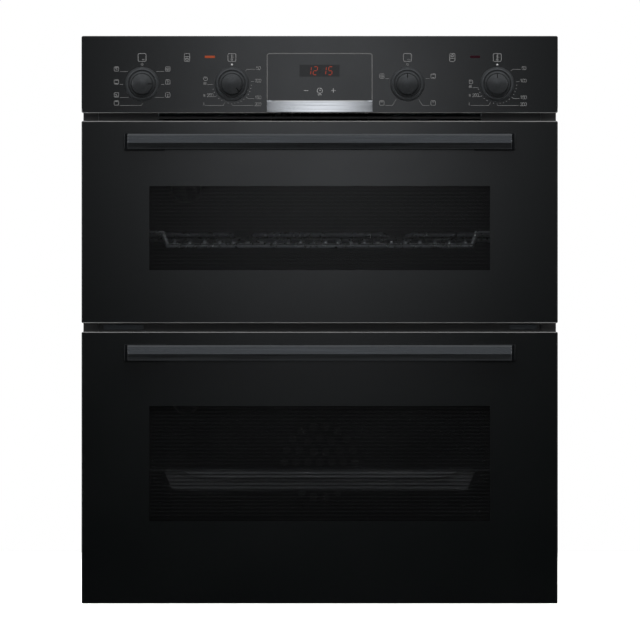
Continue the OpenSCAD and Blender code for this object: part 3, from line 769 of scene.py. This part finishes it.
def knob_profile(skirt, top):
    """From the skirt over the groove round the cap to the dome's middle."""
    cap, rim = 12.8, top - 4.4
    return [(0, 0.7), (skirt, 0.7), (skirt, 3.8), (skirt - 0.2, 4.3), (skirt - 0.6, 4.7),
            (cap + 1.2, 6.4), (cap + 0.9, 6.5), (cap + 0.7, 6.2), (cap + 0.7, 5.3), (cap, 5.3),
            (cap, rim - 0.5), (cap - 0.15, rim)] + dome(cap - 0.5, rim + 0.4, top)


def knob(node, centre, turn):
    """Skirt, groove and domed cap, with the indicator line cut into the cap."""
    lo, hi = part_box(node)
    top = (FRONT - lo.y) / MM
    profile = knob_profile((hi.z - lo.z) / 2 / MM, top)
    made = add_piece(node + "_finished", lathe(node, profile, centre, 128), node,
                     "knob_steel", "knob_steel", "mark_paint_and_gap_shade")
    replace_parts(made, node)
    cut_line(made, centre, turn, top)
    smooth(made, 30)


def cut_line(made, centre, turn, top):
    """Cuts the indicator line, a slot from the cap's rim toward its middle."""
    half, near, far, above, deep = 0.5, 7.2, 14.0, 1.0, 5.2
    a = math.radians(turn)
    out, side = Vector((math.sin(a), 0, math.cos(a))), Vector((math.cos(a), 0, -math.sin(a)))
    points = []
    for depth in (-above, deep):
        base = centre + Vector((0, -top * MM + depth * MM, 0))
        for along, across in ((near, -half), (far, -half), (far, half), (near, half)):
            points.append(base + out * along * MM + side * across * MM)
    cutter = mesh_of("cutter", points, box_faces(0))
    cutter.materials.append(LOOKS["mark_paint_and_gap_shade"])
    cut(made, cutter, material_mode="TRANSFER")


def cut(made, cutter, **settings):
    """Cuts a closed mesh out of a piece."""
    tool = bpy.data.objects.new("cutter", facing_out(cutter))
    bpy.context.collection.objects.link(tool)
    step = made.modifiers.new("cut", "BOOLEAN")
    step.operation = "DIFFERENCE"
    step.object = tool
    for setting, value in settings.items():
        setattr(step, setting, value)
    apply_modifiers(made)
    bpy.data.objects.remove(tool)


def apply_modifiers(made):
    shaped = made.evaluated_get(bpy.context.evaluated_depsgraph_get())
    mesh = bpy.data.meshes.new_from_object(shaped)
    made.modifiers.clear()
    made.data = mesh


LAMP_W = 12.6 * MM


def lamp_window(name, x, lit):
    """A slim indicator lamp, flush in its slot in the panel."""
    lo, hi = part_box("indicator_lamps")
    half = LAMP_W / 2
    mesh = slab(name, x - half, x + half, lo.z, hi.z, lo.y, hi.y, 0.7 * MM, 0.25 * MM)
    made = add_piece(name, mesh, ROOT, "lamp_plastic", "lamp_glow" if lit else "lamp_plastic")
    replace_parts(made, "indicator_lamps")


KNOB_TURNS = dict(zip(KNOBS, (90, 135, 0, 0)))
KNOB_AT = {name: knob_centre(name) for name in KNOBS}

fascia_pane()
for name, turn in KNOB_TURNS.items():
    bezel("bezel_" + name, KNOB_AT[name])
    knob(name + "_knob", KNOB_AT[name], turn)
lamps_lo, lamps_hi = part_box("indicator_lamps")
lamp_window("lower_oven_lamp", lamps_lo.x + LAMP_W / 2, True)
lamp_window("upper_oven_lamp", lamps_hi.x - LAMP_W / 2, False)


# ---- Symbols on the panel ----

# In millimetres from the middle of the nearest knob
ICON = 5.6
ICON_LINE = 0.6
ICON_X = 32.0
LEADER_X = 27.6
LEADER_DOWN = 3.1
LEADER_R = 23.7
DOT_R = 24.2
ABOVE = 33.2
ABOVE_SIZE = 9.9
ZERO_MARK = 24.5

STACK_X = 165.4 * MM  # from the panel's middle


def fan(marks, x, z, r=1.6):
    for turn in (20, 110):
        marks.line([turned_mark(x, z, turn, r), turned_mark(x, z, turn + 180, r)], ICON_LINE)


def fan_in_ring(marks, x, z):
    marks.ring(x, z, 1.7, 0.45)
    fan(marks, x, z, 1.2)


def heat_above(marks, x, z):
    marks.line([(x - 1.7, z + 1.8), (x + 1.7, z + 1.8)], 0.8)


def heat_below(marks, x, z):
    marks.line([(x - 1.7, z - 1.8), (x + 1.7, z - 1.8)], 0.8)


def grill(marks, x, z, loops=4):
    """A zigzag under the oven's roof."""
    pitch = 0.85
    marks.line([(x + (i - loops / 2) * pitch, z + (1.9 if i % 2 == 0 else 0.8))
                for i in range(loops + 1)], 0.5)


def small_grill(marks, x, z):
    grill(marks, x, z, 2)


def thaw(marks, x, z):
    """A fan over a drop."""
    fan(marks, x, z + 0.4, 1.2)
    marks.dot(x, z - 1.8, 0.5)


def icon(marks, x, z, inner):
    marks.frame(x, z, ICON, ICON, 1.1, ICON_LINE)
    for draw in inner:
        draw(marks, x, z)


def leader(marks, x, z, knee=None, angle=None):
    """A line from a symbol toward the knob: level, or level up to a knee and then slanting."""
    if knee is None:
        end = math.copysign(math.sqrt(LEADER_R ** 2 - z ** 2), x)
        marks.line([(x, z), (end, z)], THIN)
    else:
        marks.line([(x, z), (knee, z), turned_mark(0, 0, angle, LEADER_R)], THIN)


def function_symbols(marks, columns):
    """Icons beside a function knob, each (side, height, knee, angle, inner marks)."""
    for side, z, knee, angle, inner in columns:
        icon(marks, side * ICON_X, z, inner)
        leader(marks, side * LEADER_X, z - LEADER_DOWN, knee, angle)


LOWER_FUNCTIONS = (
    (-1, 18.9, None, None, (fan, heat_above)),
    (-1, 2.7, None, None, (heat_above, heat_below)),
    (-1, -13.5, None, None, (fan, heat_below)),
    (-1, -23.5, -1.0, 178, (heat_above,)),
    (1, 18.9, None, None, (fan_in_ring,)),
    (1, 2.7, None, None, (grill, thaw)),
    (1, -13.5, None, None, (thaw,)),
)
UPPER_FUNCTIONS = (
    (-1, 10.0, None, None, (fan_in_ring,)),
    (-1, -23.5, -19.0, 216, (grill,)),
    (1, 10.0, None, None, (heat_above, heat_below)),
    (1, -23.5, 19.0, 144, (small_grill,)),
)


def symbol_frame(marks):
    marks.frame(0, ABOVE, ABOVE_SIZE, ABOVE_SIZE, 1.8, 0.8)


def oven_symbol(marks):
    """Above a function knob: an oven with a heating mark in its corner, and a small ring."""
    symbol_frame(marks)
    for x in (0.4, 1.9, 3.4):
        marks.line([(x, 29.9), (x, 31.3)], 0.6)
    marks.ring(0, ZERO_MARK, 1.2, 0.55)


def thermometer_symbol(marks):
    symbol_frame(marks)
    marks.line([(0, 31.0), (0, 37.0)], 1.3)
    marks.dot(0, 30.6, 1.4)
    for z in (33.0, 34.8, 36.6):
        marks.line([(1.3, z), (2.2, z)], 0.5)


def dial_angle(step):
    """Angle of a mark on the temperature scale, counted from the mark at 100."""
    return 83.3 + 9.8 * min(step, 12) + 10.8 * max(step - 12, 0)


def temperature_scale(marks, last_drop):
    """Numbers, leaders and dots round a temperature knob, then the three grill settings, of
    which the last is lower on the upper oven's scale."""
    for text, x, z in (("50", 30.6, 18.0), ("100", 28.6, 2.4), ("150", 28.6, -18.5),
                       ("200", 28.6, -27.1), ("250", -31.0, -15.9)):
        number(marks, text, x, z)
    for text, z in (("I", -26.4), ("II", -15.7), ("III", -0.8 - last_drop)):
        number(marks, text, -35.6, z, 3.3, 1.25, 0.6)
    leader(marks, 29.0, 18.4, 19.0, 46)
    leader(marks, 27.4, 3.0)
    leader(marks, 27.6, -18.0, 20.2, dial_angle(5))
    leader(marks, 26.6, -26.6, 0.6, dial_angle(10))
    leader(marks, -33.2, -26.6, -10.7, dial_angle(12))
    leader(marks, -22.9, -15.4, -20.4, dial_angle(15))
    leader(marks, -30.6, -0.5 - last_drop)
    for step in (1, 2, 3, 4, 6, 7, 8, 9, 11, 13, 14, 16, 17):
        marks.dot(*turned_mark(0, 0, dial_angle(step), DOT_R), 0.55)
    marks.frame(-32.9, 6.7 - last_drop, 4.4, 4.4, 1.1, ICON_LINE)
    marks.line([(-34.2, 7.7 - last_drop), (-31.6, 7.7 - last_drop)], ICON_LINE)


def stack_symbol(marks, marked):
    """Two ovens, one above the other, with one of them marked."""
    marks.frame(0, ABOVE, 6.6, ABOVE_SIZE, 1.4, 0.75)
    middle = ABOVE - 0.9 * marked
    marks.line([(-3.0, middle), (3.0, middle)], 0.75)
    marks.frame(0, ABOVE + 2.2 * marked, 3.4, 2.0, 0.7, 0.9)


def panel_symbols():
    marks = Print()
    for name in KNOBS:
        place = KNOB_AT[name]
        marks.at(place.x, place.z)
        if name.endswith("function"):
            oven_symbol(marks)
            function_symbols(marks, LOWER_FUNCTIONS if name.startswith("lower")
                             else UPPER_FUNCTIONS)
        else:
            thermometer_symbol(marks)
            temperature_scale(marks, 0 if name.startswith("lower") else 3.9)
    for side in (-1, 1):
        stack_symbol(marks.at(side * STACK_X, place.z), side)
    marks.finish("panel_symbols", "legend_print")
    dots = Print()
    for name in KNOBS[1::2]:
        dots.at(KNOB_AT[name].x, KNOB_AT[name].z).dot(0, ZERO_MARK, 1.15)
    dots.finish("zero_marks", "bright_print")


panel_symbols()


# ---- Display and trim strip ----

SEGMENTS = {
    "top": ((0, 2), (1, 2)), "high_right": ((1, 2), (1, 1)), "low_right": ((1, 1), (1, 0)),
    "bottom": ((0, 0), (1, 0)), "low_left": ((0, 1), (0, 0)), "high_left": ((0, 2), (0, 1)),
    "middle": ((0, 1), (1, 1)),
}
CLOCK_DIGITS = {
    "1": ("high_right", "low_right"),
    "2": ("top", "high_right", "middle", "low_left", "bottom"),
    "5": ("top", "high_left", "middle", "low_right", "bottom"),
}
SLANT = 0.13


def clock_digit(marks, digit, x, z):
    """A slanting seven-segment digit, with its middle at (x, z)."""
    wide, tall, gap = 4.6, 5.0, 0.12
    for name in CLOCK_DIGITS[digit]:
        (ax, az), (bx, bz) = SEGMENTS[name]
        ends = []
        for px, pz, qx, qz in ((ax, az, bx, bz), (bx, bz, ax, az)):
            px, pz = px + (qx - px) * gap, pz + (qz - pz) * gap
            ends.append((x + (px - 0.5) * wide + (pz - 1) * tall * SLANT, z + (pz - 1) * tall))
        marks.line(ends, 1.0)


DISPLAY_UP = 52.7 * MM  # above the panel's lower edge
TOUCH_UP = 28.0 * MM


def display_window(z):
    mesh = slab("display_window", -25.2 * MM, 24.8 * MM, z - 7.4 * MM, z + 7.4 * MM,
                FRONT - 0.05 * MM, FRONT + 0.05 * MM, 0.5 * MM, 0.03 * MM)
    add_piece("display_window", mesh, ROOT, "black_glass", "display_glass")


def clock(z):
    digits = Print(FRONT - 0.10 * MM).at(0, z)
    for digit, x in zip("1215", (-13.1, -5.4, 5.6, 13.3)):
        clock_digit(digits, digit, x, 0)
    digits.finish("clock_digits", "digit_glow", slot="lamp_plastic")
    dots = Print(FRONT - 0.10 * MM).at(0.4 * MM, z)
    for height in (-2.4, 2.0):
        dots.dot(height * SLANT, height, 0.5)
    dots.finish("clock_dots", "lamp_plastic", slot="lamp_plastic")


def touch_symbols(marks):
    """A minus, a clock over a key and a plus."""
    marks.line([(-19.6, 0), (-14.1, 0)], ICON_LINE)
    marks.line([(14.4, 0), (19.9, 0)], ICON_LINE)
    marks.line([(17.15, -2.75), (17.15, 2.75)], ICON_LINE)
    marks.ring(0.2, -0.2, 3.2, ICON_LINE, 32)
    marks.line([(0.2, 1.3), (0.2, -0.2), (1.6, 0.5)], 0.5)
    marks.ring(-1.2, -5.2, 0.8, 0.5, 12)
    marks.line([(-0.4, -5.2), (2.4, -5.2), (2.4, -6.0)], 0.5)
    marks.finish("touch_symbols", "touch_print")


def frame_line():
    """The fine frame round the display, with softly rounded edges."""
    lo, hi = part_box("display_frame")
    half, line, r = (hi.x - lo.x) / 2 / MM, 1.2, 3.0
    marks = Print(lo.y, 0.38 * MM)
    left, low, high = line / 2 - half, lo.z / MM, hi.z / MM - line / 2
    path = [(-left, low)] + arc(-left - r, high - r, r, 0, 90, 6)
    path += arc(left + r, high - r, r, 90, 180, 6) + [(left, low)]
    marks.line(path, line)
    made = marks.finish("display_frame_finished", "frame_line")
    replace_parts(made, "display_frame")


def trim_strip():
    """The blank metal strip below the display: slightly bowed, with bevelled edges."""
    lo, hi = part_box("trim_strip")
    edge, bow, columns = 0.9 * MM, 0.88 * MM, 60
    half, proud = (hi.x - lo.x) / 2, hi.y - lo.y
    middle = [half * (2 * i / columns - 1) for i in range(1, columns)]
    end = half - 0.25 * MM
    rings = [(x, proud - bow * (x / half) ** 2) for x in middle]
    rings = [(-half, 0.0), (-end, proud - bow)] + rings + [(end, proud - bow), (half, 0.0)]
    points, faces = [], []
    for x, depth in rings:
        for z, d in ((lo.z, 0), (lo.z, depth * 0.3), (lo.z + edge, depth),
                     (hi.z - edge, depth), (hi.z, depth * 0.3), (hi.z, 0)):
            points.append((x, hi.y - d, z))
    for start in range(0, 6 * (len(rings) - 1), 6):
        faces += between(start, start + 6, 6)
    mesh = facing_out(mesh_of("trim_strip", points, faces))
    made = add_piece("trim_strip_finished", mesh, ROOT, "silver_trim", "silver_trim")
    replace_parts(smooth(made, 3), "trim_strip")


display_window(fascia_lo.z + DISPLAY_UP)
clock(fascia_lo.z + DISPLAY_UP)
touch_symbols(Print().at(0, fascia_lo.z + TOUCH_UP))
frame_line()
trim_strip()


# ---- Handles, fittings and housing ----

def handles():
    for door in DOORS:
        body = door + "_door"
        softened(door + "_handle_bar", 0.5 * MM, "dark_steel", body, 3)
        # The posts take the darker handle_post steel, painted shade for their place behind the
        # bar.
        softened(door + "_handle_posts", 0.8 * MM, "handle_post", body, 3)


def housing():
    """Sheet metal with its cut edges softened; the side flanges are painted like the front."""
    for node in ("left_side_panel", "right_side_panel"):
        softened(node, 0.15 * MM, "galvanised_steel", flange_look="black_frame_enamel",
                 angle=14)
    for node in ("back_panel", "top_cover", "base_tray"):
        softened(node, 0.15 * MM, "galvanised_steel")
    for node in ("front_frame", "air_outlet_trim"):
        softened(node, 0.3 * MM, "black_frame_enamel")
    softened("hinge_covers", 0.4 * MM, "dark_steel")
    softened("cable_gland", 1.2 * MM, "black_plastic", segments=3)


def gap_shade_strips():
    """Painted shade: dark strips in the narrow gaps between the front frame and the side panels,
    standing for the shadow in those gaps.
    """
    lo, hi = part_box("front_frame")
    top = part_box("air_outlet_trim")[1].z
    near, far = hi.x + 0.02 * MM, hi.x + 0.48 * MM
    spans = [(x0, x1, lo.y + 0.9 * MM, lo.y + 1.3 * MM, lo.z, top)
             for x0, x1 in ((-far, -near), (near, far))]
    boxes("gap_shade_strips", ROOT, "seal_rubber", "mark_paint_and_gap_shade", spans)


def screw_heads():
    """Pan-head screws with a cross recess."""
    shafts = frame["nodes"]["housing_screws"].data
    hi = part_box("housing_screws")[1]
    spots = sorted({(round(v.co.x / MM), round(v.co.z / MM)) for v in shafts.vertices
                    if v.co.y > hi.y - 0.01 * MM})
    made = softened("housing_screws", 0.2 * MM, "screw_steel")
    apply_modifiers(made)
    half, reach, deep = 0.45 * MM, 1.9 * MM, 1.6 * MM
    points, faces = [], []
    for x, z in spots:
        for w, h in ((half, reach), (reach, half)):
            faces += box_faces(len(points))
            points += box_points(x * MM - w, x * MM + w, hi.y - deep, hi.y + MM,
                                 z * MM - h, z * MM + h)
    cut(made, mesh_of("recess", points, faces), use_self=True)


# ---- Soft parts ----

BEAD = 4.0 * MM


def spaced(corners, spacing):
    """Points along a closed outline, about evenly spaced."""
    path = []
    for a, b in zip(corners, corners[1:] + corners[:1]):
        steps = max(1, round(math.dist(a, b) / spacing))
        path += [(a[0] + (b[0] - a[0]) * i / steps, a[1] + (b[1] - a[1]) * i / steps)
                 for i in range(steps)]
    return path


def flattened(value):
    """A sine or cosine changed so that a circle turns into a squarish oval."""
    return math.copysign(abs(value) ** 0.8, value)


def seal_loop(name, path, front, back):
    """A braided seal along a path: a rounded bead whose surface rises and dips."""
    around, count = 12, len(path)
    mid, deep = (front + back) / 2, (back - front) / 2
    points, faces = [], []
    for i, (x, z) in enumerate(path):
        bx, bz = path[i - 1]
        ax, az = path[(i + 1) % count]
        size = math.dist((bx, bz), (ax, az))
        out = ((az - bz) / size, (bx - ax) / size)
        for k in range(around):
            t = 2 * math.pi * k / around
            swell = 1 - 0.07 * ((i + k) % 2)
            side = BEAD * swell * flattened(math.cos(t))
            level = deep * swell * flattened(math.sin(t))
            points.append((x + out[0] * side, mid + level, z + out[1] * side))
        faces += between(i * around, ((i + 1) % count) * around, around)
    made = add_piece(name, facing_out(mesh_of(name, points, faces)), ROOT, "seal_rubber",
                     "seal_rubber")
    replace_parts(smooth(made, 180), "door_seals")


def seals():
    """A seal round each oven's opening, with the middle of its bead 6 mm inside the shell."""
    lo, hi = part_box("door_seals")
    x1, inset = hi.x - BEAD, 6 * MM
    for door in DOORS:
        shell_lo, shell_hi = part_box(door + "_cavity")
        corners = rounded(-x1, x1, shell_lo.z + inset, shell_hi.z - inset, 15 * MM, 10)
        seal_loop(door + "_oven_seal", spaced(corners, 3 * MM), lo.y, hi.y)


def wool_blankets():
    """Soft-edged mineral wool round each oven."""
    for door in DOORS:
        softened(door + "_insulation", 4.0 * MM, "mineral_wool", segments=4)


handles()
housing()
gap_shade_strips()
screw_heads()
seals()
wool_blankets()


# ---- Stage ----

PHOTO_WIDTH = 798.2 * MM
PHOTO_CENTRE = Vector((0.4 * MM, FRONT, 362.8 * MM))
LENS = 900
SENSOR = 36
CAMERA_AWAY = PHOTO_WIDTH * LENS / SENSOR


def make_camera():
    lens = bpy.data.cameras.new("camera")
    lens.lens = LENS
    lens.clip_end = 80
    eye = bpy.data.objects.new("camera", lens)
    eye.location = PHOTO_CENTRE - Vector((0, CAMERA_AWAY, 0))
    eye.rotation_euler = (math.pi / 2, 0, 0)
    bpy.context.collection.objects.link(eye)
    bpy.context.scene.camera = eye


def stage_piece(name, points, faces, look):
    mesh = mesh_of(name, points, faces)
    mesh.materials.append(LOOKS[look])
    made = bpy.data.objects.new(name, mesh)
    bpy.context.collection.objects.link(made)
    return made


def pale_paint():
    look = Shader("pale_paint", Roughness=0.8, Specular_IOR_Level=0.1, Emission_Strength=0.75,
                  Emission_Color=(1, 1, 1, 1))
    look.mottled(8, 4, 0.82, 0.86)


def make_ledge():
    """The oven stands on a pale ledge whose edge lies behind the doors, so they can open down.
    A low rail on it hides the gap under the oven."""
    pale_paint()
    edge, drop, side, near, far = 0.09, -0.62, 5.0, -4.0, 5.0
    profile = [(far, 0), (edge, 0), (edge, drop), (near, drop)]
    points = [(x, y, z) for x in (-side, side) for y, z in profile]
    ledge = stage_piece("ledge", points, [(i, i + 1, i + 5, i + 4) for i in range(3)],
                        "pale_paint")
    half, front, thick, top = 0.29, 0.05, 0.005, 0.0085
    rail = stage_piece("rail", box_points(-half, half, front, front + thick, 0, top),
                       box_faces(0), "pale_paint")
    for made in (ledge, rail):
        made.visible_glossy = False


CARD_AWAY = 4.0
SPREAD = 1 + CARD_AWAY / CAMERA_AWAY


def glow_look(name, width, tall, peak, rest):
    """A light that falls off from its peak in the middle to a rest, like a bell."""
    LOOKS[name] = bpy.data.materials.new(name)
    tree = Tree(LOOKS[name])
    tree.nodes.clear()
    place = tree.node("ShaderNodeTexCoord")
    mapping = tree.node("ShaderNodeMapping", vector_type="TEXTURE", Scale=(width, 1, tall))
    length = tree.node("ShaderNodeVectorMath", operation="LENGTH")
    tree.join(place.outputs["Object"], mapping.inputs["Vector"])
    tree.join(mapping.outputs["Vector"], length.inputs[0])
    value = length.outputs["Value"]
    for operation, other in (("POWER", 2.0), ("MULTIPLY", -1.0), ("EXPONENT", None),
                             ("MULTIPLY", peak), ("ADD", rest)):
        step = tree.node("ShaderNodeMath", operation=operation)
        tree.join(value, step.inputs[0])
        if other is not None:
            step.inputs[1].default_value = other
        value = step.outputs["Value"]
    glow = tree.node("ShaderNodeEmission", Color=(0.96, 0.99, 1.04, 1))
    tree.join(value, glow.inputs["Strength"])
    end = tree.node("ShaderNodeOutputMaterial")
    tree.join(glow.outputs["Emission"], end.inputs["Surface"])


def glow_card(name, height, low, high):
    """A card behind the camera, from a low to a high edge, whose glow is brightest at one
    height. Only reflections show it."""
    half = 0.75
    corners = [(x, 0, z - height) for x, z in
               ((-half, low), (half, low), (half, high), (-half, high))]
    card = stage_piece(name, corners, [(0, 1, 2, 3)], name)
    card.location = (0, FRONT - CARD_AWAY, height)
    card.visible_camera = False
    card.visible_diffuse = False
    card.visible_shadow = False


GLOW_REST = 0.001
BRIGHTEST = 706 * MM  # height on the panel at which the glass mirrors the glow's middle


def make_cards():
    """One card level with the glass, which mirrors it, and one above for the tilted faces."""
    level = PHOTO_CENTRE.z + (BRIGHTEST - PHOTO_CENTRE.z) * SPREAD
    split = 1.15
    glow_look("glow_card", 0.189 * SPREAD, 0.308 * SPREAD, 1.68, GLOW_REST)
    glow_card("glow_card", level, -0.5, split)
    glow_look("high_card", 0.18 * SPREAD, 0.8, 2.6, 0.05)
    glow_card("high_card", 1.9, split, 3.0)


OVEN_MIDDLE = Vector((0, 0.25, 0.35))


def area_light(name, place, size, power, glossy):
    """A round lamp aimed at the oven's middle."""
    lamp = bpy.data.lights.new(name, "AREA")
    lamp.shape = "DISK"
    lamp.size = size
    lamp.energy = power
    made = bpy.data.objects.new(name, lamp)
    made.location = place
    made.rotation_euler = (OVEN_MIDDLE - Vector(place)).to_track_quat("-Z", "Y").to_euler()
    made.visible_glossy = glossy
    bpy.context.collection.objects.link(made)


def make_lights():
    """Lamps in front and above that reflections don't show, and three that they do."""
    area_light("front_wash", (0, -3.2, 2.6), 2.5, 300, False)
    area_light("top", (0, 0.4, 3.0), 2.0, 60, False)
    area_light("left", (-3.0, 1.2, 1.2), 2.0, 60, True)
    area_light("right", (3.0, 1.2, 1.2), 2.0, 60, True)
    area_light("rear", (0.8, 4.0, 1.8), 2.0, 60, True)


SKY_LOW = 0.10
SKY_FRONT = 0.60
SKY_HIGH = 1.0
SKY_BEHIND = 0.9
ON_SURFACES = 0.35
SEEN = 1.0


def share_of(tree, source, low, high):
    """How far a value is on its way from low to high, with a soft start and end."""
    made = tree.node("ShaderNodeMapRange", interpolation_type="SMOOTHSTEP", From_Min=low,
                     From_Max=high)
    tree.join(source, made.inputs["Value"])
    return made.outputs["Result"]


def fill(tree, socket, value):
    """Sets a socket to a number or joins an output to it."""
    if isinstance(value, float):
        socket.default_value = value
    else:
        tree.join(value, socket)


def mixed(tree, low, high, share):
    """Between two strengths, each a number or an output."""
    made = tree.node("ShaderNodeMix")
    tree.join(share, made.inputs["Factor"])
    fill(tree, made.inputs["A"], low)
    fill(tree, made.inputs["B"], high)
    return made.outputs["Result"]


def mirrored_sky(tree):
    """What reflections see: bright above, pale behind the oven and dark in front of it."""
    place = tree.node("ShaderNodeTexCoord")
    split = tree.node("ShaderNodeSeparateXYZ")
    tree.join(place.outputs["Generated"], split.inputs["Vector"])
    y, z = split.outputs["Y"], split.outputs["Z"]
    upward = mixed(tree, SKY_LOW, SKY_FRONT, share_of(tree, z, -0.10, 0.45))
    upward = mixed(tree, upward, SKY_HIGH, share_of(tree, z, 0.45, 1.0))
    ahead = mixed(tree, GLOW_REST, upward, share_of(tree, y, -0.99, -0.93))
    return mixed(tree, ahead, SKY_BEHIND, share_of(tree, y, -0.3, 0.2))


def background(tree, strength):
    made = tree.node("ShaderNodeBackground", Color=(1, 1, 1, 1))
    fill(tree, made.inputs["Strength"], strength)
    return made.outputs["Background"]


def make_world():
    """White for the camera, an even light on surfaces, and a sky of its own for reflections."""
    world = bpy.data.worlds.new("studio")
    bpy.context.scene.world = world
    tree = Tree(world)
    tree.nodes.clear()
    rays = tree.node("ShaderNodeLightPath")
    shader = background(tree, ON_SURFACES)
    for ray, strength in (("Is Glossy Ray", mirrored_sky(tree)), ("Is Camera Ray", SEEN)):
        mix = tree.node("ShaderNodeMixShader")
        tree.join(rays.outputs[ray], mix.inputs["Fac"])
        tree.join(shader, mix.inputs[1])
        tree.join(background(tree, strength), mix.inputs[2])
        shader = mix.outputs["Shader"]
    end = tree.node("ShaderNodeOutputWorld")
    tree.join(shader, end.inputs["Surface"])


make_camera()
make_ledge()
make_cards()
make_lights()
make_world()
bpy.context.scene.view_settings.view_transform = "Standard"
